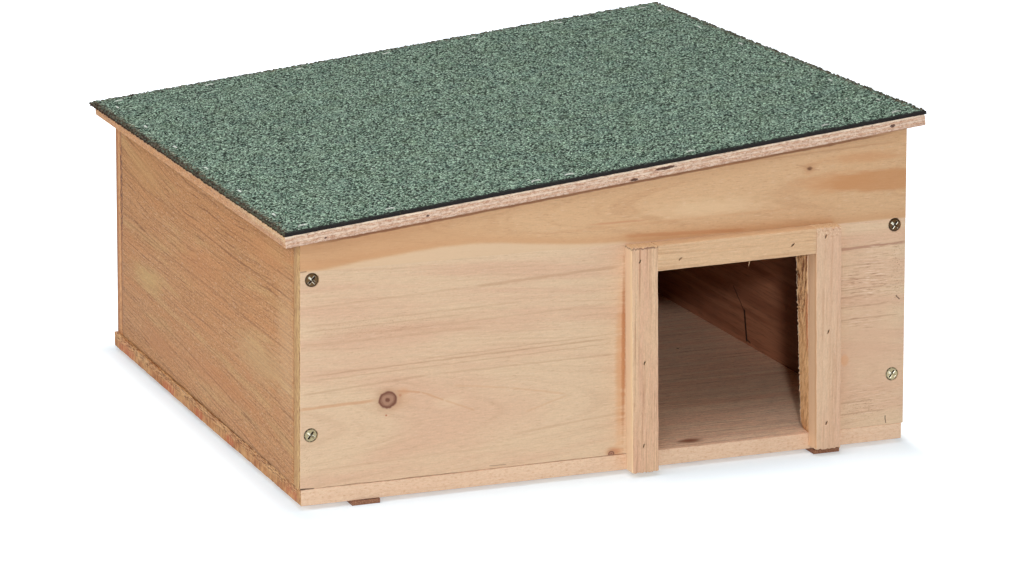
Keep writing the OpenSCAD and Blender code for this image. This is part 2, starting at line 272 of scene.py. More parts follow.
def line_share(tree, u, v, start, stop, width, ragged):
    """Where a thin line from one point to another runs."""
    length = math.hypot(stop[0] - start[0], stop[1] - start[1])
    way = ((stop[0] - start[0]) / length, (stop[1] - start[1]) / length)
    du = tree.minus(u, (start[0] + stop[0]) / 2)
    dv = tree.minus(v, (start[1] + stop[1]) / 2)
    forward = tree.add(tree.times(du, way[0]), tree.times(dv, way[1]))
    aside = tree.add(tree.times(du, -way[1]), tree.times(dv, way[0]), ragged)
    across = tree.between(tree.size_of(aside), width * 0.3, width, 1, 0)
    inside = tree.between(tree.size_of(forward), length * 0.4, length * 0.5, 1, 0)
    return tree.times(across, inside)


# How far apart two boards lie in the noise, for each step of their seeds
SEED_SPREAD = 37


def wood(name, grain, extra=None, sawn=None):
    """Bare planed softwood, worked out through the whole board, so its faces and ends agree."""
    tree = Tree(name)
    places = dict(zip("XYZ", tree.house_mm()))
    depth = ({"X", "Y", "Z"} - {grain.along, grain.across}).pop()
    u, v, w = places[grain.along], places[grain.across], places[depth]
    shift = grain.seed * SEED_SPREAD

    # Grain lines part round each knot, and may fan out over parts of the board
    flow = v
    for centre, radius, *_ in grain.knots:
        away = spot_distance(tree, u, v, centre, (radius * 5, radius * 2.6))
        near = tree.math("EXPONENT", tree.times(away, away, -1))
        offset = tree.minus(v, centre[1])
        flow = tree.minus(flow, tree.times(offset, near, 0.85))
    for fan_from, fan_to, slope, fan_start in grain.fan:
        reach = tree.most(tree.minus(u, fan_start), 0)
        flow = tree.minus(flow, tree.where(reach, (v, fan_from, fan_to), slope))

    # The year rings, which sway slowly along the board
    slow = tree.cloud((u, 0.006, shift), (v, 0.018), (w, 0.018))
    quick = tree.cloud((u, 0.03, shift), (v, 0.12), (w, 0.12))
    swayed = tree.add(flow, centred(tree, slow, grain.sway), centred(tree, quick, 0.5 + grain.sway * 0.06))
    from_heart = tree.minus(swayed, grain.heart[0])
    behind = tree.minus(w, grain.heart[1])
    radius = tree.math("SQRT", tree.add(tree.times(from_heart, from_heart), tree.times(behind, behind)))
    radius = tree.add(radius, tree.times(u, grain.taper))
    drift = tree.cloud((radius, 0.35 / grain.gap), shift, 0, detail=1)
    phase = tree.add(tree.over(radius, grain.gap), tree.times(drift, 2.6))
    part = tree.math("FRACT", phase)
    rise = tree.between(part, grain.sharp, 0.93)
    fall = tree.between(part, 0.93, 1, 1, 0)
    year = tree.node("TexWhiteNoise", {"W": tree.math("FLOOR", phase)}, noise_dimensions="1D")
    weight = tree.add(tree.times(year.outputs[0], 0.75), 0.25)
    late = tree.times(rise, rise, fall, weight)
    patchy = tree.cloud((u, 0.012, shift), (v, 0.05), (w, 0.05))
    late = tree.where(late, (patchy, 0.35, 0.65, grain.broken, 1), grain.lines)
    colour = tree.mix(late, grain.pale, grain.late)

    # Broad changes of tone, long fine lines, then fibres and short flecks
    broad = tree.cloud((u, 0.008, shift), (radius, 0.11), 0, detail=3)
    colour = tree.paint(colour, grain.blush or grain.late, (broad, 0.36, 0.66), grain.blush_share)
    threads = tree.cloud((u, 0.012, shift), (radius, 0.9), (w, 0.1), detail=3, roughness=0.65)
    colour = tree.paint(colour, grain.late, (threads, 0.5, 0.66), grain.fine)
    fibres = tree.cloud((u, 0.12, shift), (v, 0.9), (w, 0.9), detail=4, roughness=0.8)
    fuzz = tree.cloud((u, 0.7, shift), (v, 0.9), (w, 0.9), detail=2, roughness=0.7)
    shade = tree.add(1, centred(tree, fibres, 2 * grain.fibre), centred(tree, fuzz, grain.fibre))
    grey = tree.node("CombineColor", {0: shade, 1: shade, 2: shade}).outputs[0]
    colour = tree.mix(1, colour, grey, "MULTIPLY")
    dashes = tree.cloud((u, 0.2, shift), (v, 1.3), (w, 1.3), detail=1.5)
    colour = tree.paint(colour, grain.late, (dashes, 0.62, 0.7), grain.dashes)
    colour = tree.paint(colour, tone(238, 214, 190), (dashes, 0.28, 0.38, 1, 0), 0.6 * grain.dashes)

    if extra:
        colour = extra(tree, colour, places, swayed)

    # Stains, lines and patches with soft, uneven edges
    ragged = centred(tree, tree.cloud((u, 0.09, shift), (v, 0.4), (w, 0.4), detail=3), 0.55)
    for centre, radii, mark_tone, strength, soft in grain.marks:
        away = tree.add(spot_distance(tree, u, v, centre, radii), tree.times(ragged, soft))
        colour = tree.paint(colour, mark_tone, (away, 1 - soft, 1, 1, 0), strength)
    for start, stop, width, line_tone, strength in grain.streaks:
        share = line_share(tree, u, v, start, stop, width, tree.times(ragged, 1.2))
        colour = tree.paint(colour, line_tone, share, strength)

    pits = tree.cloud((u, 0.8, shift), (v, 1.1), (w, 1.1), detail=2)
    for centre, radii, strength in grain.pitted:
        away = tree.add(spot_distance(tree, u, v, centre, radii), tree.times(ragged, 0.6))
        colour = tree.paint(colour, tone(146, 100, 72), (away, 0.2, 1, strength, 0), (pits, 0.56, 0.66))
    if grain.rippled:
        ripples = tree.cloud((u, 0.1, shift), (v, 1.15), 0, detail=3, roughness=0.7)
    for centre, radii, strength in grain.rippled:
        away = tree.add(spot_distance(tree, u, v, centre, radii), tree.times(ragged, 0.8))
        near = tree.between(away, 0.2, 1, strength, 0)
        colour = tree.paint(colour, tone(160, 114, 88), near, (ripples, 0.54, 0.66))
        colour = tree.paint(colour, tone(234, 206, 180), near, (ripples, 0.46, 0.36))

    # Knots: a dark ring of bark round paler wood, with a split heart
    for centre, knot_radius, ring_tone, core_tone in grain.knots:
        wobble = tree.cloud((u, 0.3), (v, 0.3), 0, detail=3)
        away = tree.add(spot_distance(tree, u, v, centre, (knot_radius * 1.04, knot_radius * 0.92)),
                        centred(tree, wobble, 0.2))
        colour = tree.paint(colour, grain.late, (away, 1, 2, 1, 0), 0.4)
        core = tree.mix(tree.between(tree.math("SINE", tree.times(away, 11)), -0.4, 1, 0, 0.4),
                        core_tone, ring_tone)
        core = tree.paint(core, ring_tone, (away, 0.1, 0.34, 0.9, 0))
        bark = tree.between(tree.size_of(tree.minus(away, 0.88)), 0.03, 0.2, 1, 0)
        core = tree.paint(core, ring_tone, bark, 0.85)
        colour = tree.paint(colour, core, (away, 0.95, 1.15, 1, 0))

    # Sawn ends drink more light and show the open fibres
    ends = tree.between(tree.facing(grain.along), 0.5, 0.9)
    pores = tree.cloud((v, 1.3), (w, 1.3), (u, 0.8), detail=3, roughness=0.75)
    end_tone = tree.mix(tree.between(pores, 0.35, 0.7), grain.end or grain.late,
                        grain.end_light or grain.pale)
    colour = tree.paint(colour, end_tone, ends, grain.end_share)
    if sawn:
        colour = sawn(tree, colour, places)

    height = tree.add(tree.times(fibres, 0.7), tree.times(late, -0.3), tree.times(pores, ends, 1.4),
                      tree.times(dashes, 0.3))
    return tree.surface(colour, 0.62, height, 0.22 * MM, specular=0.25)


# Tones of wood
PALE = tone(218, 187, 154)
PALE_LATE = tone(182, 138, 106)
ROSY = tone(212, 169, 140)
HONEY = tone(211, 171, 131)
HONEY_LATE = tone(176, 124, 84)
AMBER = tone(200, 148, 104)
TAN_BROWN = tone(194, 140, 92)
TAN_LATE = tone(126, 74, 40)
RUST = tone(188, 122, 78)
KNOT_RING = tone(112, 66, 50)
KNOT_CORE = tone(166, 124, 100)
RED_SPECK = tone(178, 92, 58)
CRACK = tone(60, 34, 22)
END_TAN = tone(188, 138, 92)
END_TAN_LIGHT = tone(208, 172, 124)
ORANGE_END = tone(186, 122, 74)
ORANGE_END_LIGHT = tone(206, 150, 102)
POST_END = tone(206, 164, 118)
POST_END_LIGHT = tone(236, 204, 164)
INNER = tone(210, 148, 114)
INNER_LATE = tone(182, 120, 90)
DARK_STRIP = tone(96, 58, 42)
DARK_STRIP_LATE = tone(50, 30, 24)
SPLIT = tone(30, 16, 10)


def sapwood_edge(tree, colour, places, swayed):
    """The upper front board: pale wood below a curved line, honey heartwood above it."""
    u, v = places["X"], places["Z"]
    right_of = tree.over(tree.minus(u, 92), 80)
    left_of = tree.over(tree.minus(92, u), 55)
    from_crest = tree.most(right_of, left_of)
    crest = tree.math("EXPONENT", tree.times(from_crest, from_crest, -1))
    wave = tree.cloud((u, 0.02), (v, 0.02), 0)
    above = tree.add(v, tree.times(crest, -8.4), centred(tree, wave, 1.8), -146.4)
    colour = tree.paint(colour, PALE, (above, -2, 2.2, 0.75, 0))
    line = tree.where((above, -1, 1), (above, 1, 8, 1, 0))
    colour = tree.paint(colour, AMBER, line, 0.55)
    left_end = tree.where((u, 40, 135, 1, 0), (above, 0, 2.5))
    return tree.paint(colour, AMBER, left_end, 0.55)


def left_bands(tree, colour, places, swayed):
    """The left wall's orange and olive bands, and the thin dark lines that come and go on it."""
    y, z = places["Y"], places["Z"]
    band = tree.cloud((y, 0.009), (swayed, 0.08), 3, detail=3)
    colour = tree.paint(colour, tone(196, 132, 80), (band, 0.52, 0.66), 0.45)
    colour = tree.paint(colour, tone(200, 160, 106), (band, 0.46, 0.34), 0.45)
    drift = tree.cloud((y, 0.01), (swayed, 0.2), 8)
    turn = tree.math("FRACT", tree.add(tree.times(swayed, 1 / 3.1), tree.times(drift, 2)))
    ridge = tree.between(tree.size_of(tree.minus(turn, 0.5)), 0.02, 0.15, 1, 0)
    breaks = tree.cloud((y, 0.026), (swayed, 0.45), 5, detail=3, roughness=0.7)
    colour = tree.paint(colour, tone(128, 76, 40), ridge, (breaks, 0.44, 0.56), 0.75)
    flecks = tree.cloud((y, 0.35), (z, 1), 2, detail=3, roughness=0.8)
    colour = tree.paint(colour, tone(132, 84, 46), (flecks, 0.54, 0.64), 0.6)
    colour = tree.paint(colour, tone(226, 182, 130), (flecks, 0.45, 0.36), 0.6)
    torn = tree.cloud(0, (y, 0.5), (z, 0.3), detail=3, roughness=0.7)
    back_edge = tree.where((y, 383.2, 384.4), (z, 76, 92, 0.3, 1), (z, 152, 138, 0.3, 1))
    colour = tree.paint(colour, tone(206, 142, 92), back_edge, 0.5)
    return tree.paint(colour, tone(104, 56, 30), back_edge, (torn, 0.44, 0.52), 0.9)


def front_end(tree, colour, places):
    """The front boards' left ends: wall-brown, with a paler band and a dark broken line at the front."""
    x, y, z = (places[axis] for axis in "XYZ")
    end = tree.where((tree.facing("X"), 0.5, 0.85), (x, 30, 20))
    rough = tree.cloud((x, 0.3), (y, 0.9), (z, 0.22), detail=4, roughness=0.75)
    shade = tree.mix(tree.between(rough, 0.4, 0.62), tone(200, 156, 104), tone(170, 122, 74))
    pale_band = tree.where((y, 6.5, 4), (rough, 0.6, 0.42))
    shade = tree.paint(shade, tone(222, 186, 130), pale_band, 0.7)
    dark_line = tree.where((y, 1.9, 1), (rough, 0.42, 0.56))
    shade = tree.paint(shade, tone(128, 78, 44), dark_line, 0.8)
    inner_line = tree.where((y, 10.2, 11.2), (rough, 0.44, 0.56))
    shade = tree.paint(shade, tone(126, 80, 46), inner_line, 0.7)
    return tree.paint(colour, shade, end, 0.92)


# The split in the right wall's inner face, as lines along Y and up, with their widths
WALL_SPLIT = (((215, 38), (210.2, 14), 1.9, 1), ((212, 17), (204, 15.5), 1, 0.8),
              ((234, 50), (213, 34), 0.8, 0.8))


def dark_inside(tree, colour, places, swayed):
    """The right wall's inner face, of brown heartwood, with a painted shadow of the doorway's right jamb
    near its front.
    """
    x, y, z = (places[axis] for axis in "XYZ")
    inner = tree.between(x, HOUSE_W / MM - 7, HOUSE_W / MM - 11)
    bands = tree.cloud((y, 0.004), (swayed, 0.12), 0, detail=3)
    brown = tree.mix(tree.between(bands, 0.4, 0.6), INNER, INNER_LATE)
    fibres = tree.cloud((y, 0.05), (z, 0.8), 0, detail=4)
    brown = tree.paint(brown, tone(124, 78, 56), (fibres, 0.48, 0.7), 0.4)
    # Painted shadow: near the front, where the doorway's right jamb shades the inner face, it is darkened,
    # fading out towards the back and the top
    near = tree.where((y, 178, 132), (z, 150, 120))
    brown = tree.paint(brown, tone(64, 26, 12), near, 0.65)
    torn = tree.cloud((y, 0.12), (z, 0.4), 6, detail=3)
    for start, stop, width, strength in WALL_SPLIT:
        split = line_share(tree, y, z, start, stop, width, centred(tree, torn, 0.66))
        brown = tree.paint(brown, SPLIT, split, strength)
    return tree.paint(colour, brown, inner)


def sawn_jamb(tree, colour, places):
    """The front board's sawn faces: the torn, reddish cut at the doorway's right side."""
    x, y, z = (places[axis] for axis in "XYZ")
    cut = tree.where((tree.facing("X"), 0.5, 0.8), (x, 300, 310), (x, 345, 340))
    slanted = tree.add(z, tree.times(y, 3.2))
    torn = tree.cloud((x, 0.5), (y, 0.7), (slanted, 0.16), detail=4, roughness=0.7)
    fine = tree.cloud((x, 0.5), (y, 2), (slanted, 0.5), detail=3)
    high = tree.between(z, 70, 110, 0.3, 1)
    base = tree.mix(tree.between(torn, 0.35, 0.6), tone(240, 194, 144), tone(226, 168, 114))
    base = tree.paint(base, tone(120, 62, 36), (torn, 0.48, 0.56), high, 0.95)
    base = tree.paint(base, tone(240, 206, 160), (fine, 0.56, 0.68), high, 0.5)
    red = tree.where((tree.minus(y, tree.times(fine, 2)), 2.2, 0.6), (z, 60, 75), (z, 108, 96))
    base = tree.paint(base, tone(190, 108, 70), red, 0.6)
    edge = tree.where((y, 10.6, 11.6), (torn, 0.36, 0.46))
    base = tree.paint(base, tone(250, 232, 208), edge, 0.8)
    return front_end(tree, tree.paint(colour, base, cut), places)


def sawn_post(tree, colour, places):
    """The posts' left faces, lightened as painted light, with a painted highlight along the left post's
    front edge and a darker orange edge on the right post, and their sawn tops.
    """
    x, y, z = (places[axis] for axis in "XYZ")
    side = tree.between(tree.facing("X"), 0.5, 0.85)
    at_left = tree.between(x, 300, 280)
    # Painted light: the posts' side faces are lightened, the right post's a little more orange
    colour = tree.paint(colour, tree.mix(at_left, tone(234, 190, 150), tone(234, 204, 170)), side, 0.75)
    # Along each side face's front edge: a painted highlight on the left post, a darker orange tint on the
    # right post
    arris_highlight_and_tint = tree.where(side, (y, -8, -9.8))
    colour = tree.paint(colour, tree.mix(at_left, tone(198, 142, 98), tone(240, 212, 166)), arris_highlight_and_tint, 0.45)
    rough_y = tree.cloud((x, 0.9), (y, 0.9), 3, detail=2)
    from_top = tree.minus(146, z)
    chipped = tree.add(from_top, centred(tree, rough_y, 1.8))
    line = tree.where((chipped, 0.2, 0.8), (chipped, 1.1, 1.9, 1, 0), (tree.facing("Z"), 0.8, 0.4),
                      (x, 300, 280))
    colour = tree.paint(colour, tone(104, 66, 44), line, 0.7)
    specks = tree.cloud((x, 0.8), (y, 0.8), (z, 0.8), detail=3, roughness=0.8)
    at_top = tree.where((z, 137, 145), (x, 280, 300))
    colour = tree.paint(colour, tone(238, 210, 172), at_top, (specks, 0.54, 0.62), 0.6)
    return tree.paint(colour, tone(172, 116, 78), at_top, (specks, 0.45, 0.38), 0.5)


# Reddish places on the floor's left edge: the middle along and up it, and the radii
RED_PLACES = (((18, 7), (14, 5)), ((372, 7), (24, 6)), ((272, 6), (18, 5)),
              ((205, 6), (12, 4)), ((140, 6), (10, 4)))


def weathered_edge(tree, colour, places):
    """The floor's sawn left edge, blotched ochre and red, with torn fibres along its top and painted shade
    along the left wall's foot.
    """
    x, y, z = (places[axis] for axis in "XYZ")
    front = tree.where((tree.facing("Y"), 0.5, 0.85), (y, 20, 10))
    grit = tree.cloud((x, 0.3), (y, 0.8), (z, 0.8), detail=4, roughness=0.8)
    colour = tree.paint(colour, tone(220, 186, 155), front, 0.8)
    colour = tree.paint(colour, tone(194, 142, 106), front, (grit, 0.52, 0.64), 0.5)
    colour = tree.paint(colour, tone(238, 212, 184), front, (grit, 0.46, 0.36), 0.4)
    end = tree.where((x, 4, 1.5), (tree.facing("Y"), 0.8, 0.5))
    blotch = tree.cloud((y, 0.04), (z, 0.06), 0, detail=3, roughness=0.6)
    rust = tree.mix(tree.between(blotch, 0.42, 0.58), tone(200, 148, 96), tone(180, 118, 70))
    upright = tree.cloud((y, 0.4), (z, 0.12), 5, detail=3, roughness=0.7)
    rust = tree.paint(rust, tone(140, 86, 48), (upright, 0.5, 0.62), 0.8)
    rust = tree.paint(rust, tone(218, 170, 116), (upright, 0.46, 0.36), 0.45)
    for place, reach in RED_PLACES:
        near = spot_distance(tree, y, z, place, reach)
        rust = tree.paint(rust, tone(186, 98, 62), (near, 1.1, 0.5), (upright, 0.36, 0.56), 0.8)
    torn = tree.cloud((y, 0.11), (z, 1.1), (x, 1.1), detail=4, roughness=0.8)
    at_top = tree.between(z, 7, 9.5)
    rust = tree.paint(rust, tone(226, 184, 132), (torn, 0.5, 0.6), at_top, 0.75)
    rust = tree.paint(rust, tone(108, 64, 36), (torn, 0.49, 0.4), at_top, 0.9)
    # Painted shade: a dark, broken line on the floor's top along the left wall's foot
    wall_foot_shade = tree.where((x, -1.4, -0.2), (tree.facing("Z"), 0.4, 0.8), (blotch, 0.4, 0.56),
                            (torn, 0.6, 0.46))
    rust = tree.paint(rust, tone(84, 48, 28), wall_foot_shade, 0.85)
    return tree.paint(colour, rust, end)


def gapped_end(tree, colour, places):
    """The back wall's left end: brown at the rim, then a bright stripe, and dark dashes at the side wall."""
    x, y, z = (places[axis] for axis in "XYZ")
    end = tree.where((tree.facing("X"), 0.5, 0.85), (x, 30, 20))
    rough = tree.cloud((x, 0.3), (y, 0.9), (z, 0.25), detail=4, roughness=0.75)
    shade = tree.mix(tree.between(rough, 0.4, 0.62), tone(204, 140, 88), tone(168, 104, 62))
    bright = tree.where((y, 388.6, 390), (y, 394.6, 393.2), (rough, 0.64, 0.46))
    shade = tree.paint(shade, tone(230, 176, 124), bright, 0.75)
    dashes = tree.cloud(0, (y, 0.5), (z, 0.3), detail=3, roughness=0.7)
    most = tree.where((z, 78, 92, 0.45, 1), (z, 150, 136, 0.45, 1))
    gap = tree.where((y, 390.2, 389), (dashes, 0.46, 0.54), most)
    shade = tree.paint(shade, tone(88, 44, 22), gap, 0.9)
    shade = tree.paint(shade, tone(132, 100, 76), (y, 397.6, 398.8), 0.6)
    return tree.paint(colour, shade, end, 0.95)


def front_lower_grain():
    marks = [
        ((63.5, 65.5), (1, 1), RED_SPECK, 0.8, 0.4),
        ((54.5, 54), (0.8, 0.7), RED_SPECK, 0.8, 0.4),
        ((66, 68), (6, 3), tone(206, 146, 104), 0.5, 0.9),
        ((60, 63.5), (15, 9), tone(206, 160, 124), 0.5, 0.9),
        # Beside the left post's left side: a narrow orange stain, darkened further as painted shade in the
        # corner where the wall meets the post
        ((208.4, 78), (1.9, 70), tone(172, 108, 64), 0.85, 0.7),
        ((206, 66), (4.4, 70), tone(206, 150, 104), 0.6, 0.9),
        ((202, 15.5), (7.5, 4), tone(190, 126, 86), 0.75, 0.8),
        ((359, 58), (3.6, 5), tone(220, 160, 114), 0.5, 0.5),
        ((375, 85), (24, 70), tone(212, 172, 142), 0.5, 0.9),
        ((70, 107), (80, 8), tone(206, 160, 130), 0.35, 0.9),
        ((95, 58), (14, 6), tone(226, 196, 162), 0.5, 0.9),
    ]
    orange = tone(202, 148, 108)
    streaks = [
        ((-2, 124.3), (110, 128.3), 1, PALE_LATE, 0.22),
        ((108, 128.2), (209, 132.6), 1.4, PALE_LATE, 0.42),
        ((-2, 113), (150, 116.5), 0.8, PALE_LATE, 0.24),
        ((-2, 110), (110, 112), 0.7, PALE_LATE, 0.3),
        ((40, 105.5), (209, 110), 0.9, PALE_LATE, 0.2),
        ((-2, 101.5), (120, 103), 1.2, PALE_LATE, 0.22),
        ((-2, 82.5), (209, 88), 0.7, PALE_LATE, 0.45),
        ((-2, 79.6), (209, 84.6), 0.6, PALE_LATE, 0.32),
        ((70, 86.5), (209, 90.6), 0.6, PALE_LATE, 0.28),
        ((-2, 71.5), (85, 76.5), 0.9, PALE_LATE, 0.34),
        ((83, 76.4), (209, 77.6), 0.8, PALE_LATE, 0.3),
        ((-2, 62.8), (49, 64), 1.3, orange, 0.6),
        ((61, 68.6), (77, 66.2), 0.9, orange, 0.6),
        ((76.5, 66.3), (92, 59.5), 0.8, orange, 0.5),
        ((91.5, 59.7), (112, 51), 0.8, orange, 0.35),
        ((97, 68.4), (133, 63.3), 0.9, orange, 0.25),
        ((133, 63.3), (172, 55.4), 0.9, orange, 0.3),
        ((173, 55), (143, 46.6), 0.9, orange, 0.25),
        ((133, 33.3), (209, 40), 1.1, PALE_LATE, 0.28),
        ((-2, 24), (140, 27.5), 0.9, PALE_LATE, 0.16),
        ((-1.5, 13.5), (9, 13.4), 0.55, CRACK, 0.9),
        ((8, 13.4), (110, 13.3), 0.4, tone(122, 78, 54), 0.6),
        ((120, 15.2), (132, 15), 0.4, CRACK, 0.5),
        ((388, 19.5), (388.8, 14), 0.5, CRACK, 0.8),
        ((393.6, 97), (396.6, 94.2), 0.6, CRACK, 0.8),
        ((355.5, 15), (355.8, 128), 0.7, tone(190, 150, 122), 0.3),
        ((347, 129.6), (402, 131), 1.3, tone(160, 110, 88), 0.6),
    ]
    for index, height in enumerate((118.6, 109.6, 103.3, 98.4, 92, 84, 30, 22.5)):
        reach = 380 + 9 * (index % 3)
        streaks.append(((351, height), (reach, height + 0.8), 0.7, tone(160, 112, 84), 0.34))
    pitted = [((394, 112), (7, 34), 0.5), ((372, 24), (26, 12), 0.35),
              ((4, 30), (7, 24), 0.25), ((50, 110), (60, 12), 0.22)]
    rippled = [((374, 106), (32, 18), 0.9), ((372, 84), (24, 10), 0.5),
               ((380, 125), (26, 14), 0.5), ((375, 30), (28, 18), 0.5),
               ((60, 107), (70, 8), 0.2)]
    return Grain("X", "Z", PALE, PALE_LATE, heart=(50, 46), gap=4.6, lines=0.12, sharp=0.6, taper=0.05,
                 sway=4, blush=ROSY, blush_share=0.65, fibre=0.1, fine=0.17, dashes=0.3, seed=0,
                 knots=[((55.6, 63.5), 5.6, KNOT_RING, KNOT_CORE),
                        ((200.8, 14.2), 1.9, KNOT_RING, KNOT_CORE)],
                 marks=marks, streaks=streaks, pitted=pitted, rippled=rippled, end=END_TAN,
                 end_light=END_TAN_LIGHT, end_share=0.9)


def front_upper_grain():
    marks = [
        ((350, 173), (38, 9), tone(202, 146, 100), 0.6, 0.7),
        ((388, 172), (54, 8.5), tone(194, 136, 88), 0.75, 0.4),
        ((370, 187.5), (46, 5.5), tone(202, 146, 100), 0.6, 0.9),
        ((332.3, 183.3), (8, 5), tone(190, 138, 96), 0.6, 0.9),
        ((262, 164), (60, 9), tone(228, 196, 156), 0.5, 0.9),
        ((332.3, 183.3), (2.6, 1.7), tone(96, 56, 38), 0.9, 0.7),
        ((205, 160), (28, 1), tone(196, 134, 94), 0.6, 0.8),
        ((95, 162), (60, 6), tone(200, 154, 112), 0.4, 0.9),
    ]
    streaks = [
        ((322, 186.5), (340, 181.5), 0.8, tone(170, 120, 84), 0.3),
        # Painted shadow: a dark line along the board's top edge, where the roof board's front edge shades it
        ((-1, 161.9), (401, 202.8), 1.1, tone(116, 68, 44), 0.75),
        ((205, 151.2), (292, 148), 1.6, tone(194, 136, 92), 0.6),
        ((150, 157), (330, 159), 1.2, tone(200, 146, 104), 0.25),
        ((250, 189), (398, 196), 0.9, HONEY_LATE, 0.3),
        ((-1, 146.9), (6, 146.9), 0.5, CRACK, 0.5),
    ]
    return Grain("X", "Z", HONEY, HONEY_LATE, heart=(168, 60), gap=5.4, lines=0.04, sharp=0.6,
                 taper=-0.03, sway=6, blush=tone(204, 158, 114), blush_share=0.32, fibre=0.1, fine=0.22,
                 dashes=0.34, seed=1, marks=marks, streaks=streaks, end=END_TAN,
                 end_light=END_TAN_LIGHT, end_share=0.9)


def left_grain():
    marks = [
        ((325, 68), (50, 12), tone(200, 164, 106), 0.6, 0.9),
        ((75, 74), (80, 20), tone(198, 160, 112), 0.6, 0.9),
        ((25, 95), (30, 70), tone(212, 172, 128), 0.4, 0.9),
        ((100, 57), (12, 4), RUST, 0.4, 0.9),
        ((45, 50), (20, 6), RUST, 0.3, 0.9),
        ((210, 105), (80, 14), tone(194, 130, 82), 0.4, 0.9),
        ((330, 140), (70, 20), tone(196, 146, 92), 0.5, 0.9),
        ((60, 145), (70, 14), tone(200, 138, 88), 0.5, 0.9),
        ((170, 38), (110, 13), tone(192, 126, 76), 0.4, 0.9),
        ((300, 30), (60, 10), tone(184, 122, 76), 0.5, 0.9),
    ]
    streaks = [
        ((400, 129), (-5, 126), 0.8, TAN_LATE, 0.35),
        ((400, 96.5), (-5, 93), 0.9, TAN_LATE, 0.35),
        ((325, 48), (25, 25), 0.7, TAN_LATE, 0.4),
        ((205, 27), (75, 13.5), 0.6, TAN_LATE, 0.4),
        ((12.8, 13), (12.8, 165), 0.6, tone(150, 98, 58), 0.5),
        ((12, 13.9), (388, 13.9), 0.7, tone(96, 56, 32), 0.4),
        ((387.2, 13), (387.2, 165), 0.7, tone(110, 64, 36), 0.35),
    ]
    return Grain("Y", "Z", TAN_BROWN, TAN_LATE, heart=(-330, 120), gap=5.6, lines=0.95, sharp=0.76,
                 taper=0, sway=4, blush=tone(184, 126, 74), blush_share=0.5, fibre=0.18, fine=0.4,
                 dashes=0.5, fan=((100, 30, 0.09, 0), (85, 160, 0.13, 230)), seed=2,
                 marks=marks, streaks=streaks, broken=0.12)


WOOD = {
    "floor": wood("floor_wood", Grain(
        "X", "Y", tone(252, 218, 188), tone(204, 152, 122), heart=(-300, -60), gap=4.2, lines=0.45,
        sway=5, blush=tone(244, 198, 168), blush_share=0.8, fibre=0.28, fine=0.6, dashes=0.8, seed=3,
        marks=[((258.8, 12.3), (11, 5), tone(88, 44, 34), 0.9, 0.9),
               ((341, 218), (1, 1.5), CRACK, 0.8, 0.5),
               ((258.8, 12.3), (14, 7), tone(176, 110, 80), 0.6, 0.9),
               ((206.5, 0), (4.5, 3), tone(204, 138, 96), 0.6, 0.8),
               ((303, 0), (9, 2), tone(204, 140, 96), 0.4, 0.9)]), sawn=weathered_edge),
    "front_lower": wood("front_lower_wood", front_lower_grain(), sawn=sawn_jamb),
    "front_upper": wood("front_upper_wood", front_upper_grain(), sapwood_edge, front_end),
    "left": wood("left_wood", left_grain(), left_bands),
    "back_lower": wood("back_lower_wood", Grain(
        "X", "Z", PALE, PALE_LATE, heart=(95, 440), gap=4.8, lines=0.5, sharp=0.5, taper=0.03, sway=6,
        blush=ROSY, fine=0.42, fibre=0.08, seed=4, knots=[((285, 96), 4.4, KNOT_RING, KNOT_CORE)],
        end=ORANGE_END, end_light=ORANGE_END_LIGHT, end_share=0.95), sawn=gapped_end),
    "back_upper": wood("back_upper_wood", Grain(
        "X", "Z", HONEY, HONEY_LATE, heart=(130, 440), gap=5.6, lines=0.45, sway=9, blush=AMBER,
        fine=0.45, fibre=0.08, seed=5, end=ORANGE_END, end_light=ORANGE_END_LIGHT, end_share=0.95),
        sawn=gapped_end),
    "right_lower": wood("right_lower_wood", Grain(
        "Y", "Z", PALE, PALE_LATE, heart=(60, 330), gap=5, lines=0.55, sharp=0.5, taper=0.04, sway=6,
        blush=ROSY, fine=0.42, fibre=0.06, seed=6), dark_inside),
    "right_upper": wood("right_upper_wood", Grain(
        "Y", "Z", HONEY, HONEY_LATE, heart=(190, 330), gap=5.6, lines=0.45, sway=8, blush=AMBER,
        blush_share=0.4, fine=0.45, fibre=0.05, seed=7), dark_inside),
    "partition": wood("partition_wood", Grain(
        "Y", "Z", PALE, PALE_LATE, heart=(60, 120), gap=5, lines=0.5, sway=7, blush=HONEY,
        seed=8)),
    "post_left": wood("post_left_wood", Grain(
        "Z", "X", tone(220, 184, 148), tone(172, 122, 92), heart=(150, 60), gap=2.9, lines=0.6, sway=1.6,
        blush=tone(210, 162, 134), blush_share=0.7, fibre=0.15, fine=0.6, seed=9, end=POST_END,
        end_light=POST_END_LIGHT), sawn=sawn_post),
    "post_right": wood("post_right_wood", Grain(
        "Z", "X", tone(217, 182, 150), tone(190, 142, 110), heart=(300, 60), gap=3.4, lines=0.35,
        sway=2, blush=tone(212, 168, 140), blush_share=0.6, fibre=0.13, fine=0.4, seed=10,
        end=POST_END, end_light=POST_END_LIGHT), sawn=sawn_post),
    "lintel": wood("lintel_wood", Grain(
        "X", "Z", tone(214, 177, 139), tone(184, 136, 97), heart=(90, 60), gap=2.6, lines=0.42, sway=2,
        blush=tone(212, 170, 130), fibre=0.13, fine=0.45, seed=11)),
    "batten": wood("batten_wood", Grain(
        "Y", "X", HONEY, HONEY_LATE, heart=(100, 120), gap=3.5, lines=0.5, sway=3, fibre=0.09,
        seed=12)),
    "strip": wood("strip_wood", Grain(
        "Y", "X", DARK_STRIP, DARK_STRIP_LATE, heart=(100, 40), gap=2.5, lines=0.6, sway=3, fibre=0.2,
        dashes=0.8, seed=13, blush=tone(146, 100, 76), blush_share=0.9, end=tone(120, 76, 54),
        end_light=tone(176, 128, 98), end_share=0.9)),
}


PLIES = 5
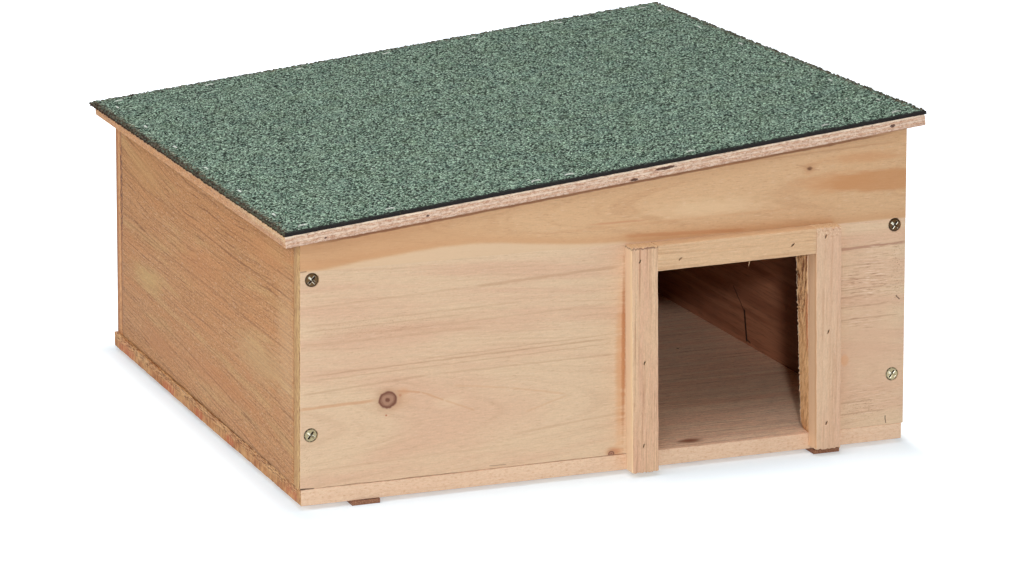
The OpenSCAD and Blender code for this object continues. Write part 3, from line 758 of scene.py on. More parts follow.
# Gaps in the plies of the roof board's front edge: the place along the edge and up, and the radii
PLY_VOIDS = (((213, 1), (3, 0.9)), ((234, 4.6), (8, 1)), ((386, 3.6), (2, 1)),
             ((16, 2), (1, 0.6)), ((80, 3.4), (1.2, 0.6)))


def above_slope(tree, x, z):
    """The height above the roof board's underside, square to the slope."""
    level = tree.times(tree.minus(z, LOW_TOP / MM), math.cos(SLOPE))
    return tree.add(level, tree.times(x, -math.sin(SLOPE)))


def plywood():
    """Thin plies across the board's thickness, every other one cut across its fibres."""
    tree = Tree("plywood")
    x, y, z = tree.house_mm()
    up = above_slope(tree, x, z)
    wave = tree.cloud((x, 0.02), (y, 0.02), 0)
    ply = tree.over(tree.add(up, tree.times(tree.minus(wave, 0.5), 0.5)), ROOF_T / MM / PLIES)
    cross = tree.math("PINGPONG", tree.math("FLOOR", ply), 1)
    front = tree.facing("Y")
    side = tree.facing("X")
    flat = tree.between(tree.facing("Z"), 0.6, 0.9)
    streaks = tree.cloud((x, 0.09), (y, 1.2), (up, 2.2), detail=4, roughness=0.7)
    dots = tree.cloud((x, 1.3), (y, 0.12), (up, 1.6), detail=4, roughness=0.75)
    along_x = tree.add(tree.times(front, tree.minus(1, cross)), tree.times(side, cross))
    fibre = tree.blend(flat, tree.blend(along_x, dots, streaks), streaks)
    colour = tree.mix(cross, tone(230, 200, 175), tone(218, 177, 149))
    colour = tree.paint(colour, tone(176, 122, 96), (up, 1.6, 0.3), 0.6)
    colour = tree.paint(colour, tone(246, 226, 200), (up, 5.6, 6.4), 0.7)
    yellow = tree.mix(tree.between(up, 2, 5), tone(208, 154, 110), tone(226, 190, 144))
    yellow = tree.paint(yellow, tone(218, 160, 106), (y, 30, 150))
    yellow = tree.paint(yellow, tone(238, 192, 138), (up, 4.8, 6), 0.6)
    colour = tree.paint(colour, yellow, (side, 0.5, 0.9))
    colour = tree.paint(colour, tone(214, 176, 142), flat)
    colour = tree.paint(colour, tone(156, 100, 76), (fibre, 0.46, 0.66), (side, 0.5, 0.9, 0.62, 0.9))
    mottle = tree.cloud((x, 0.5), (y, 0.5), (up, 0.9), detail=3, roughness=0.7)
    edge_on = tree.minus(1, flat)
    rough_edge = tree.where(edge_on, (side, 0.5, 0.9, 0.4, 0.25))
    colour = tree.paint(colour, tone(250, 232, 212), (mottle, 0.5, 0.6), rough_edge)
    colour = tree.paint(colour, tone(168, 104, 78), (mottle, 0.46, 0.34), rough_edge)
    seam = tree.size_of(tree.minus(tree.math("FRACT", ply), 0.5))
    seams = tree.where((seam, 0.4, 0.5), edge_on, (side, 0.5, 0.9, 0.45, 0.2), (streaks, 0.35, 0.6))
    colour = tree.paint(colour, tone(150, 96, 70), seams)
    specks = tree.cloud((x, 0.9), (y, 0.9), (up, 1.5), detail=1)
    colour = tree.paint(colour, tone(120, 60, 42), (specks, 0.7, 0.78), edge_on, 0.7)
    for centre, radii in PLY_VOIDS:
        away = tree.add(spot_distance(tree, x, up, centre, radii), centred(tree, mottle, 0.6))
        colour = tree.paint(colour, tone(70, 34, 24), (away, 1.1, 0.7), (front, 0.5, 0.8), 0.9)
    height = tree.add(fibre, tree.where((seam, 0.36, 0.5), edge_on, -0.8))
    return tree.surface(colour, 0.7, height, 0.2 * MM)


def mineral_felt():
    """Green crushed-stone granules pressed into black bitumen, whose cut edge shows."""
    tree = Tree("mineral_felt")
    x, y, z = tree.house_mm()
    place = tree.vector(x, y, tree.times(z, 0.6))
    grains = tree.node("TexVoronoi", {"Vector": place, "Scale": 0.78, "Randomness": 1})
    pick = tree.node("SeparateXYZ", {"Vector": grains.outputs["Color"]})
    chance, other = pick.outputs["X"], pick.outputs["Y"]
    green = tree.mix(chance, tone(62, 92, 74), tone(204, 232, 208))
    green = tree.paint(green, tone(112, 158, 132), (other, 0.7, 0.95), 0.5)
    green = tree.paint(green, tone(34, 44, 38), (chance, 0.05, 0.16, 1, 0))
    green = tree.paint(green, tone(214, 220, 208), (other, 0.994, 0.998), 0.8)
    clumps = tree.cloud(x, y, 0, scale=0.33, detail=2)
    green = tree.paint(green, tone(64, 84, 70), (clumps, 0.36, 0.56, 1, 0), 0.15)
    hue = tree.cloud(x, y, 0, scale=0.045, detail=2)
    green = tree.paint(green, tone(132, 152, 104), (hue, 0.52, 0.66), 0.12)
    green = tree.paint(green, tone(96, 132, 136), (hue, 0.48, 0.34), 0.12)
    pits = tree.cloud(x, y, 0, scale=1.1, detail=2)
    green = tree.paint(green, tone(22, 34, 28), (pits, 0.56, 0.62), 0.9)
    gaps = tree.between(grains.outputs["Distance"], 0.4, 0.75)
    green = tree.paint(green, tone(28, 38, 32), gaps, 0.95)

    # Brown dust and bare bitumen along the cut edges
    crumbs = tree.cloud(x, y, 0, scale=0.35, detail=3)
    skew = FELT_LEFT_SKEW / (FELT_BACK - ROOF_FRONT)
    from_left = tree.add(tree.minus(x, ROOF_LEFT * math.cos(SLOPE) / MM), tree.times(y, skew))
    from_back = tree.times(tree.minus(FELT_BACK / MM, y), 0.5)
    from_right = tree.minus(ROOF_RIGHT * math.cos(SLOPE) / MM, x)
    inside = tree.math("MINIMUM", tree.math("MINIMUM", from_left, from_back), from_right)
    dusty = tree.between(tree.add(inside, centred(tree, crumbs, 10)), 0, 5, 1, 0)
    green = tree.paint(green, tree.mix(chance, tone(44, 34, 26), tone(132, 112, 88)), dusty, 0.75)
    from_front = tree.add(tree.minus(y, ROOF_FRONT / MM), centred(tree, crumbs, 3))
    green = tree.paint(green, tone(34, 34, 32), (from_front, 1.6, 3.4, 0.95, 0))
    from_left = tree.add(from_left, centred(tree, crumbs, 1.6))
    green = tree.paint(green, tone(50, 36, 30), (from_left, 0.1, 1.1, 0.9, 0))
    flat = tree.between(tree.facing("Z"), 0.3, 0.7)
    up = above_slope(tree, x, z)
    crusted = tree.add(up, centred(tree, crumbs, 1), -ROOF_T / MM)
    brown = tree.mix(tree.between(crusted, 0.6, 1.3), tone(56, 36, 24), tone(82, 84, 62))
    bitumen = tree.mix(tree.between(tree.facing("X"), 0.4, 0.7), tone(38, 34, 33), brown)
    colour = tree.mix(flat, bitumen, green)
    height = tree.minus(1, grains.outputs["Distance"])
    return tree.surface(colour, 0.85, height, 0.5 * MM)


def loose_stone():
    """Dusty granules and bitumen crumbs along the felt's cut edges."""
    tree = Tree("loose_stone")
    x, y, z = tree.house_mm()
    cells = tree.node("TexVoronoi", {"Vector": tree.vector(x, y, z), "Scale": 0.7, "Randomness": 1})
    chance = tree.node("SeparateXYZ", {"Vector": cells.outputs["Color"]}).outputs["X"]
    colour = tree.mix(chance, tone(46, 38, 30), tone(128, 114, 96))
    colour = tree.paint(colour, tone(92, 108, 94), (chance, 0.65, 0.9))
    grit = tree.cloud(x, y, z, scale=3, detail=2)
    return tree.surface(colour, 0.9, grit, 0.1 * MM)


def plated_steel(name, bright, dull, roughness, metal=0.9):
    """Metal with faint blotches and fine scratches."""
    tree = Tree(name)
    x, y, z = tree.house_mm()
    blotch = tree.cloud(x, y, z, scale=0.55, detail=3)
    scratch = tree.cloud((x, 3), (y, 3), (z, 0.6), detail=2)
    colour = tree.mix(tree.between(blotch, 0.35, 0.65), bright, dull)
    rough = tree.between(scratch, 0.2, 0.8, roughness - 0.1, roughness + 0.12)
    return tree.surface(colour, rough, scratch, 0.03 * MM, specular=0.5, metal=metal)


def yellow_zinc():
    """Plating between olive brown and pale silver. A face attribute runs from painted shade on the darkest
    faces to painted glints on the brightest, and plate sets each screw's own tone."""
    tree = Tree("yellow_zinc")
    x, y, z = tree.house_mm()
    blotch = tree.cloud(x, y, z, scale=0.7, detail=3)
    glint_and_shade = tree.node("Attribute", {}, attribute_name="glint_and_shade").outputs["Fac"]
    plate = tree.node("Attribute", {}, attribute_name="plate").outputs["Fac"]
    glint_and_shade = tree.add(glint_and_shade, centred(tree, blotch, 0.45))
    middle = tree.mix(plate, tone(96, 64, 22), tone(194, 178, 138))
    colour = tree.mix(tree.between(glint_and_shade, 0, 0.4), tone(48, 28, 8), middle)
    colour = tree.paint(colour, tone(255, 250, 232), (glint_and_shade, 0.6, 1))
    return tree.surface(colour, 0.36, blotch, 0.08 * MM, specular=0.5, metal=0.35)


YELLOW_ZINC = yellow_zinc()
BRAD_STEEL = plated_steel("brad_steel", tone(92, 82, 72), tone(58, 50, 44), 0.45, metal=0.5)
BRIGHT_STEEL = plated_steel("bright_steel", tone(200, 200, 202), tone(140, 138, 136), 0.38)
STAPLE_WIRE = plated_steel("staple_wire", tone(236, 240, 232), tone(176, 182, 172), 0.4, metal=0.3)
PLYWOOD = plywood()
FELT = mineral_felt()
STONE = loose_stone()


# Building boards
AXES = {"X": 0, "Y": 1, "Z": 2}


def unit(axis):
    return Vector([1.0 if i == AXES[axis] else 0.0 for i in range(3)])


def slab(outline, axis, start, end):
    """A prism from an outline in the two other axes, drawn along one axis."""
    others = [i for i in range(3) if i != AXES[axis]]
    bm = bmesh.new()
    corners = []
    for point in outline:
        place = unit(axis) * start
        place[others[0]], place[others[1]] = point
        corners.append(bm.verts.new(place))
    base = bm.faces.new(corners)
    drawn = bmesh.ops.extrude_face_region(bm, geom=[base])
    bmesh.ops.translate(bm, verts=only(drawn, BMVert), vec=unit(axis) * (end - start))
    bmesh.ops.recalc_face_normals(bm, faces=bm.faces)
    return bm


def box_slab(low, high, axis="Y"):
    """A plain block, as a prism."""
    a, b = [i for i in range(3) if i != AXES[axis]]
    outline = [(low[a], low[b]), (high[a], low[b]), (high[a], high[b]), (low[a], high[b])]
    return slab(outline, axis, low[AXES[axis]], high[AXES[axis]])


def only(made, kind):
    """The corners, edges or faces among what an operator gives back."""
    return [part for part in made["geom"] if isinstance(part, kind)]


def new_rim(grown):
    """The corners of a freshly drawn-out rim, and the edges between them."""
    verts = only(grown, BMVert)
    ring = set(verts)
    return verts, [edge for edge in only(grown, BMEdge) if ring.issuperset(edge.verts)]


def edges_at(verts):
    """The edges at some corners, each of them once and always in the same order."""
    return list(dict.fromkeys(edge for vert in verts for edge in vert.link_edges))


def uneven(x, y, z):
    """Smooth noise round 0."""
    return noise.noise(Vector((x, y, z)))


def soften(bm, width, keep_sharp=None):
    """Rounds a board's edges, but not where it is glued to its neighbour."""
    edges = []
    for edge in bm.edges:
        if edge.is_manifold and edge.calc_face_angle() > math.radians(30):
            if keep_sharp is None or not all(keep_sharp(vert.co) for vert in edge.verts):
                edges.append(edge)
    bmesh.ops.bevel(bm, geom=edges, offset=width, segments=2, profile=0.5, affect="EDGES", material=-1)


def cut_across(bm, axis, spacing, low=None, high=None):
    """Cuts a mesh across one axis into even lengths."""
    values = [vert.co[AXES[axis]] for vert in bm.verts]
    low = min(values) if low is None else low
    high = max(values) if high is None else high
    count = max(1, round((high - low) / spacing))
    for i in range(1, count):
        at = low + (high - low) * i / count
        bmesh.ops.bisect_plane(bm, geom=bm.verts[:] + bm.edges[:] + bm.faces[:], dist=1e-7,
                               plane_co=unit(axis) * at, plane_no=unit(axis))


def weather(bm, amount, size, seed):
    """Leaves a board's faces a little out of true."""
    shift = Vector((seed * 7.3, seed * 3.1, seed * 5.7))
    for vert in bm.verts:
        vert.co += noise.noise_vector(vert.co / size + shift) * amount


def add_piece(name, bm, material, body, slot, *nodes, smooth=True, transform=None):
    """Makes the finished object from a mesh in house coordinates."""
    bmesh.ops.recalc_face_normals(bm, faces=bm.faces)
    mesh = bpy.data.meshes.new(name)
    bm.to_mesh(mesh)
    bm.free()
    mesh.transform(transform if transform else Matrix.Translation(HOUSE))
    if smooth:
        mesh.shade_smooth()
        mesh.set_sharp_from_angle(angle=math.radians(32))
    mesh.materials.append(material)
    piece = bpy.data.objects.new(name, mesh)
    bpy.context.scene.collection.objects.link(piece)
    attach(piece, body)
    if nodes:
        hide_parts(*nodes)
    return piece


def on_joint(place):
    """Whether a corner lies on the walls' glued joint."""
    return abs(place.z - JOINT_Z) < 1e-5


def join(bm, part):
    """Adds a finished shape to a piece that holds several."""
    mesh = bpy.data.meshes.new("part")
    part.to_mesh(mesh)
    part.free()
    bm.from_mesh(mesh)
    bpy.data.meshes.remove(mesh)


def islands(node):
    """The lowest and highest corners of each separate solid in a node, in house coordinates."""
    bm = bmesh.new()
    bm.from_mesh(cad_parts[node].data)
    bmesh.ops.remove_doubles(bm, verts=bm.verts, dist=1e-6)
    waiting = set(bm.verts)
    found = []
    while waiting:
        front = [waiting.pop()]
        corners = []
        while front:
            vert = front.pop()
            corners.append(vert.co - HOUSE)
            for edge in vert.link_edges:
                other = edge.other_vert(vert)
                if other in waiting:
                    waiting.remove(other)
                    front.append(other)
        found.append(tuple(Vector([pick(place[i] for place in corners) for i in range(3)])
                           for pick in (min, max)))
    bm.free()
    return sorted(found, key=lambda pair: tuple(pair[0]))


def isolate(bm, x, z, half, face_y):
    """Cuts a small square out of a wall's face, and gives the faces inside it."""
    reach = half + 3 * MM

    def on_face(face):
        return abs(face.calc_center_median().y - face_y) < 0.3 * MM

    def in_reach(face):
        xs = [vert.co.x for vert in face.verts]
        zs = [vert.co.z for vert in face.verts]
        return (on_face(face) and min(xs) < x + reach and max(xs) > x - reach
                and min(zs) < z + reach and max(zs) > z - reach)

    near = [face for face in bm.faces if in_reach(face)]
    for axis, middle in (("X", x), ("Z", z)):
        for offset in (-half, half):
            geom = dict.fromkeys(part for face in near for part in (face, *face.edges, *face.verts))
            cut = bmesh.ops.bisect_plane(bm, geom=list(geom), dist=1e-7, plane_no=unit(axis),
                                         plane_co=unit(axis) * (middle + offset))
            near = only(cut, BMFace)
    return [face for face in near
            if on_face(face) and abs(face.calc_center_median().x - x) < half
            and abs(face.calc_center_median().z - z) < half]


# Feet and floor
# How far a board's edges are rounded, and those of a board that meets the roof
EDGE = 0.45 * MM
THIN_EDGE = 0.3 * MM


def build_feet():
    for side in ("left", "right"):
        low, high = house_box("foot_strip_" + side)
        bm = box_slab(low, high)
        soften(bm, 0.35 * MM)
        cut_across(bm, "X", 3 * MM)
        cut_across(bm, "Y", 8 * MM)
        for vert in bm.verts:
            rough = noise.noise_vector(vert.co / (2.5 * MM))
            if vert.co.z > low.z + 0.5 * MM:
                vert.co += Vector((rough.x, rough.y, 0)) * 0.25 * MM
        add_piece("dark_foot_strip_" + side, bm, WOOD["strip"], "house", "foot_strips", "foot_strip_" + side)


def floor_edge(y):
    """The floor's left edge, which runs outward towards the back."""
    return -FLOOR_SKEW * y / FLOOR_BACK


def build_floor():
    for index, part in enumerate(("front", "middle", "rear")):
        node = "floor_board_" + part
        low, high = house_box(node)
        outline = [(floor_edge(low.y), low.y), (high.x, low.y), (high.x, high.y),
                   (floor_edge(high.y), high.y)]
        bm = slab(outline, "Z", low.z, high.z)
        seams = [y for y in (low.y, high.y) if 1 * MM < y < FLOOR_BACK - 1 * MM]
        soften(bm, EDGE, lambda place: any(abs(place.y - y) < 1e-5 for y in seams))
        cut_across(bm, "Z", 2 * MM)
        cut_across(bm, "Y", 2.2 * MM)
        cut_across(bm, "X", 24 * MM)
        for vert in bm.verts:
            edge = floor_edge(vert.co.y)
            if vert.co.x < edge + 0.8 * MM:
                torn = uneven(0, vert.co.y / (5 * MM), vert.co.z / (1.6 * MM))
                chip = max(0.0, uneven(6, vert.co.y / (7 * MM), 0) - 0.1)
                at_top = max(0.0, (vert.co.z - low.z) / (high.z - low.z) - 0.6) / 0.4
                vert.co.x += (abs(torn) * 0.7 + chip * at_top * 2.2) * MM
                vert.co.z -= chip * at_top * 1.2 * MM
        weather(bm, 0.12 * MM, 14 * MM, 1.0)
        add_piece("planed_" + node, bm, WOOD["floor"], "house", "floor_boards", node)


# Walls
# How far the walls' outer edges lean inwards per metre of height, measured in the photograph
LEFT_LEAN = 0.0140
RIGHT_LEAN = 0.0128
# How far they stand out at the floor: the left one in front and at the back, and the right one
LEFT_OUT_FRONT = 0.3 * MM
LEFT_OUT_BACK = 1.3 * MM
RIGHT_OUT = 1.1 * MM
# How far each front screw sits from its true place: lower left, upper left, lower right, upper right
SCREW_DRIFT = ((-1.5 * MM, 0.5 * MM), (-0.8 * MM, 0), (0, 0), (0.6 * MM, 1.0 * MM))


def close_in(verts):
    """Leans the box's sides inwards, as the photographed house does."""
    for vert in verts:
        share = vert.co.x / HOUSE_W
        up = vert.co.z - FLOOR_TOP
        left_out = LEFT_OUT_FRONT + (LEFT_OUT_BACK - LEFT_OUT_FRONT) * vert.co.y / HOUSE_D
        vert.co.x += (LEFT_LEAN * up - left_out) * (1 - share) + (RIGHT_OUT - RIGHT_LEAN * up) * share


# The seat of a screw's head
SINK_R = 4.5 * MM
SINK_DEPTH = 2.8 * MM


def sink(bm, x, z, face_y, half, rim_shape, steps):
    """Cuts a seat into a wall's face. rim_shape places a unit circle on the face as the seat's rim,
    and each step is the rim's size and its depth."""
    square = isolate(bm, x, z, half, face_y)
    inside = set(square)
    outer = [edge for face in square for edge in face.edges
             if sum(other in inside for other in edge.link_faces) == 1]
    bmesh.ops.delete(bm, geom=square, context="FACES")
    middle = Vector((x, face_y, z))
    place = Matrix.Translation(middle) @ rim_shape
    circle = bmesh.ops.create_circle(bm, cap_ends=False, segments=32, radius=1.0, matrix=place)["verts"]
    ring = edges_at(circle)
    bmesh.ops.triangle_fill(bm, use_beauty=True, use_dissolve=False, edges=outer + ring)
    for size, depth in steps:
        verts, ring = new_rim(bmesh.ops.extrude_edge_only(bm, edges=ring))
        for vert in verts:
            out = (vert.co - middle) * size
            vert.co = middle + Vector((out.x, depth, out.z))
    bmesh.ops.edgeloop_fill(bm, edges=ring)


def countersink(bm, x, z, face_y, inward):
    """The round, tapered seat of one screw head."""
    rim = Matrix.Rotation(math.radians(90), 4, "X") @ Matrix.Diagonal((SINK_R, SINK_R, 1, 1))
    steps = ((1.0, inward * 0.3 * MM), (0.42, inward * SINK_DEPTH))
    sink(bm, x, z, face_y, SINK_R + 0.8 * MM, rim, steps)


def screw_places(side):
    """The middles of a wall's screws in house coordinates."""
    middles = [(low + high) / 2 for low, high in islands(side + "_wall_screws")]
    if side == "front":
        middles.sort(key=lambda middle: (middle.x > HOUSE_W / 2, middle.z))
        middles = [middle + Vector((x, 0, z)) for middle, (x, z) in zip(middles, SCREW_DRIFT)]
    return middles


# How far the front wall's foot rises towards the doorway
GAP_UNDER_WALL = 0.7 * MM


def build_front_lower():
    node = "front_wall_lower_board"
    low, high = house_box(node)
    left, right = DOOR_LEFT + SAW_IN, DOOR_RIGHT - SAW_IN
    outline = [(low.x, low.z), (left, low.z), (left, SAW_TOP), (right, SAW_TOP), (right, low.z),
               (high.x, low.z), (high.x, high.z), (low.x, high.z)]
    bm = slab(outline, "Y", low.y, high.y)
    soften(bm, EDGE, on_joint)
    cut_across(bm, "Z", 1.1 * MM)
    cut_across(bm, "X", 10 * MM)
    cut_across(bm, "Y", 1.2 * MM)
    for vert in bm.verts:
        if vert.co.z < low.z + 0.3 * MM and vert.co.x < left:
            vert.co.z += GAP_UNDER_WALL * min(1.0, max(0.0, vert.co.x / left - 0.25))
        if abs(vert.co.x - right) < 0.8 * MM and vert.co.z < SAW_TOP + 0.8 * MM:
            up = (vert.co.z - low.z) / (SAW_TOP - low.z)
            back = vert.co.y / WALL_T
            teeth = uneven(3.0, vert.co.y / (2.2 * MM), vert.co.z / (1.3 * MM))
            torn = uneven(9.0, 0, vert.co.z / (1.0 * MM)) * back ** 3
            corner = max(0.0, 1 - up / 0.07) ** 2
            in_front, behind = 0.4 - 2.75 * up, 1.9 * corner + 0.1 - 4.7 * up
            lean_in = in_front + (behind - in_front) * back
            vert.co.x += (teeth * 0.4 + torn * 1.1 + lean_in) * MM
        if abs(vert.co.x - left) < 0.8 * MM and vert.co.z < SAW_TOP + 0.8 * MM:
            vert.co.x += uneven(5.0, vert.co.y / (3 * MM), vert.co.z / (1.4 * MM)) * 0.5 * MM
    for middle in screw_places("front"):
        countersink(bm, middle.x, middle.z, low.y, 1)
    close_in(bm.verts)
    add_piece("front_wall_lower_stave", bm, WOOD["front_lower"], "house", "lower_boards", node)


def add_wall(node, piece, finish, slot, tops=None, edge=EDGE, work=None):
    """One board of a wall. tops are the heights of its left and right ends where it slopes, and work
    is what is done to it before the box's sides lean inwards."""
    low, high = house_box(node)
    left_top, right_top = tops or (high.z, high.z)
    outline = [(low.x, low.z), (high.x, low.z), (high.x, right_top), (low.x, left_top)]
    bm = slab(outline, "Y", low.y, high.y)
    soften(bm, edge, on_joint)
    if work:
        work(bm)
    close_in(bm.verts)
    add_piece(piece, bm, WOOD[finish], "house", slot, node)


def roughen_back(bm):
    """Leaves the lower back board a little out of true, and seats its screws."""
    cut_across(bm, "X", 12 * MM)
    weather(bm, 0.1 * MM, 14 * MM, 2.0)
    for middle in screw_places("back"):
        countersink(bm, middle.x, middle.z, HOUSE_D, -1)


def lift_foot(bm):
    """Opens a thin, uneven gap under the left wall."""
    cut_across(bm, "Y", 6 * MM)
    for vert in bm.verts:
        if vert.co.z < FLOOR_TOP + 0.8 * MM:
            vert.co.z += abs(uneven(1.0, vert.co.y / (9 * MM), 0)) * 0.45 * MM


def build_other_walls():
    for side in ("front", "back"):
        add_wall(side + "_wall_upper_board", side + "_wall_upper_stave", side + "_upper", "upper_boards",
                 (LOW_TOP, HIGH_TOP), THIN_EDGE)
    add_wall("back_wall_lower_board", "back_wall_lower_stave", "back_lower", "lower_boards",
             work=roughen_back)
    left_top = house_box("left_wall_board")[1].z
    add_wall("left_wall_board", "left_wall_plank", "left", "left_board", (LOW_TOP, left_top), work=lift_foot)
    add_wall("right_wall_lower_board", "right_wall_lower_stave", "right_lower", "lower_boards")
    add_wall("right_wall_upper_board", "right_wall_upper_stave", "right_upper", "upper_boards",
             (HIGH_TOP - WALL_T * SLOPE_TAN, HIGH_TOP), THIN_EDGE)


def build_partition():
    bm = box_slab(*house_box("partition_board"))
    soften(bm, EDGE)
    add_piece("inner_partition", bm, WOOD["partition"], "house", "lower_boards", "partition_board")


# Trim round the doorway
# How far the brads' heads slant, how long and wide they are, how deep they sit, and their shanks
BRAD_TILT = math.radians(20)
LINTEL_BRAD_TILT = math.radians(50)
BRAD_LEN = 2.6 * MM
BRAD_W = 0.9 * MM
BRAD_SINK = 0.5 * MM
BRAD_SHANK_R = 0.5 * MM
BRAD_SHANK_LEN = 17 * MM


def brad_places():
    """The middle of each brad's head on the trim's face, with its slant."""
    places = []
    for low, high in islands("door_trim_brads"):
        middle = (low + high) / 2
        in_lintel = DOOR_LEFT < middle.x < DOOR_RIGHT
        places.append((middle.x, middle.z, LINTEL_BRAD_TILT if in_lintel else BRAD_TILT))
    return places


def punch(bm, x, z, tilt, face_y):
    """Sinks a narrow slanting slot for one brad head into a front face."""
    rim = (Matrix.Rotation(tilt, 4, "Y") @ Matrix.Rotation(math.radians(90), 4, "X")
           @ Matrix.Diagonal((BRAD_W * 0.66, BRAD_LEN * 0.58, 1, 1)))
    sink(bm, x, z, face_y, BRAD_LEN * 0.62, rim, ((0.9, BRAD_SINK),))


def splinter_end(bm, at, inward, front_y, seed):
    """Tears the fibres of a sawn end of an upright batten, most of all at its front edge."""
    for vert in bm.verts:
        if abs(vert.co.z - at) < 1.3 * MM:
            fibre = uneven(vert.co.x / (1.1 * MM), vert.co.y / (1.6 * MM), seed)
            fine = uneven(vert.co.x / (0.45 * MM), vert.co.y / (0.6 * MM), seed + 5)
            near_front = max(0.0, 1 - (vert.co.y - front_y) / (1.8 * MM))
            torn = max(0.0, 0.15 + 0.5 * fibre + 0.35 * fine) + near_front * max(0.0, fibre + 0.1) * 1.6
            vert.co.z += inward * torn * MM


# How far the posts lean out of the upright, left edge then right edge, at the foot and at the top
LEAN = {"left": ((1.3, 1.6), (-0.7, -0.5)), "right": ((0.3, 0.1), (-2.7, -2.5))}
# How far the right post's inner face is out of square
OUT_OF_SQUARE = 0.4


def lean(bm, side, low, high):
    """Sets a post out of the upright."""
    foot, top = LEAN[side]
    for vert in bm.verts:
        up = (vert.co.z - low.z) / (high.z - low.z)
        across = (vert.co.x - low.x) / (high.x - low.x)
        back = (vert.co.y - low.y) / (high.y - low.y)
        at_foot = foot[0] + (foot[1] - foot[0]) * across
        at_top = top[0] + (top[1] - top[0]) * across
        shift = at_foot + (at_top - at_foot) * up
        if side == "right":
            shift -= OUT_OF_SQUARE * back * (1 - across)
        vert.co.x += shift * MM


def build_posts():
    for side in ("left", "right"):
        node = "door_post_" + side
        low, high = house_box(node)
        bm = box_slab(low, high, "Z")
        lean(bm, side, low, high)
        soften(bm, EDGE)
        cut_across(bm, "X", 0.8 * MM)
        cut_across(bm, "Y", 0.9 * MM)
        cut_across(bm, "Z", 5 * MM)
        cut_across(bm, "Z", 0.9 * MM, high.z - 2.7 * MM, high.z)
        seed = 2.0 if side == "left" else 7.0
        for x, z, tilt in brad_places():
            if low.x < x < high.x:
                punch(bm, x, z, tilt, low.y)
        splinter_end(bm, high.z, -1, low.y, seed)
        splinter_end(bm, low.z, 1, low.y, seed + 20)
        for vert in bm.verts:
            saw = uneven(vert.co.x / (6 * MM), 0, vert.co.z / (9 * MM) + seed)
            if vert.co.y < -1 * MM:
                vert.co.x += saw * 0.25 * MM
        add_piece("sawn_" + node, bm, WOOD["post_" + side], "house", "trim_battens", node)


# The splinter under the lintel: its place along it, its length and its tilt
SPLINTER_X = 287.6 * MM
SPLINTER_LEN = 4.4 * MM
SPLINTER_TILT = 0.18


def add_splinter(bm, under_z):
    """A sliver of wood that hangs from the lintel's lower edge."""
    middle = (SPLINTER_X, TRIM_FACE + 1.2 * MM, under_z - 1.6 * MM)
    bmesh.ops.create_cone(bm, cap_ends=True, segments=6, radius1=0.05 * MM, radius2=0.32 * MM,
                          depth=SPLINTER_LEN,
                          matrix=Matrix.Translation(middle) @ Matrix.Rotation(SPLINTER_TILT, 4, "Y"))


def build_lintel():
    low, high = house_box("door_lintel")
    rise = 1.6 * MM
    left, right = low.x - 0.4 * MM, high.x - 2.5 * MM
    outline = [(left, low.z), (right, low.z + rise), (right, high.z), (left, high.z - rise)]
    bm = slab(outline, "Y", low.y, high.y)
    soften(bm, 0.35 * MM)
    cut_across(bm, "X", 3 * MM)
    cut_across(bm, "Z", 2 * MM)
    for x, z, tilt in brad_places():
        if low.x < x < high.x:
            punch(bm, x, z, tilt, low.y)
    for vert in bm.verts:
        vert.co.z += uneven(vert.co.x / (5 * MM), vert.co.y / (4 * MM), vert.co.z / (5 * MM)) * 0.2 * MM
    add_splinter(bm, low.z + rise * 0.7)
    add_piece("sawn_door_lintel", bm, WOOD["lintel"], "house", "trim_battens", "door_lintel")


def build_brads():
    bm = bmesh.new()
    for x, z, tilt in brad_places():
        place = Matrix.Translation((x, TRIM_FACE + BRAD_SINK + 0.5 * MM, z)) @ Matrix.Rotation(tilt, 4, "Y")
        size = Matrix.Diagonal((BRAD_W, 1.0 * MM, BRAD_LEN, 1))
        made = bmesh.ops.create_cube(bm, size=1.0, matrix=place @ size)
        bmesh.ops.bevel(bm, geom=edges_at(made["verts"]), offset=0.12 * MM, segments=2, profile=0.5,
                        affect="EDGES", material=-1)
        shank = Matrix.Translation((x, TRIM_FACE + 10 * MM, z)) @ Matrix.Rotation(math.radians(90), 4, "X")
        bmesh.ops.create_cone(bm, cap_ends=True, segments=12, radius1=BRAD_SHANK_R, radius2=BRAD_SHANK_R,
                              depth=BRAD_SHANK_LEN, matrix=shank)
    add_piece("brad_heads", bm, BRAD_STEEL, "house", "bright_steel", "door_trim_brads")


# Screws with a cross recess
# The head's radius and height, the shank's radius, and the length, half width and bevel of the cross
HEAD_R = 4.2 * MM
HEAD_H = 2.4 * MM
SHANK_R = 1.75 * MM
WING = 2.7 * MM
WING_HALF = 0.55 * MM
WING_RIM = 0.28 * MM
RIM_SIDES = 36
# A screw below its flat top: each ring's radius, its height, and how bright the faces above it are, low
# values painting shade round the head's rim
SCREW_RINGS = ((HEAD_R, 0.0, 0.16), (HEAD_R, -0.35 * MM, 0.1), (SHANK_R, -HEAD_H, 0.2),
               (SHANK_R, -26 * MM, 0.2), (0.06 * HEAD_R, -30 * MM, 0.2))
HEAD_SUNK = 0.35 * MM
# How far each screw is turned, in degrees, and how pale its plating is
SCREW_TURNS = (54, 46, 54, 50)
SCREW_PLATES = (0.85, 0.05, 1.0, 0.0)


def cross_outline(wider, z):
    """The twelve corners of the recess at one height, moved outwards from its wall."""
    long, short = WING + wider, WING_HALF + wider
    quarter = [(long, -short), (long, short), (short, short)]
    corners = []
    for turn in range(4):
        spin = Matrix.Rotation(turn * math.pi / 2, 2)
        corners += [(*(spin @ Vector(point)), z) for point in quarter]
    return corners


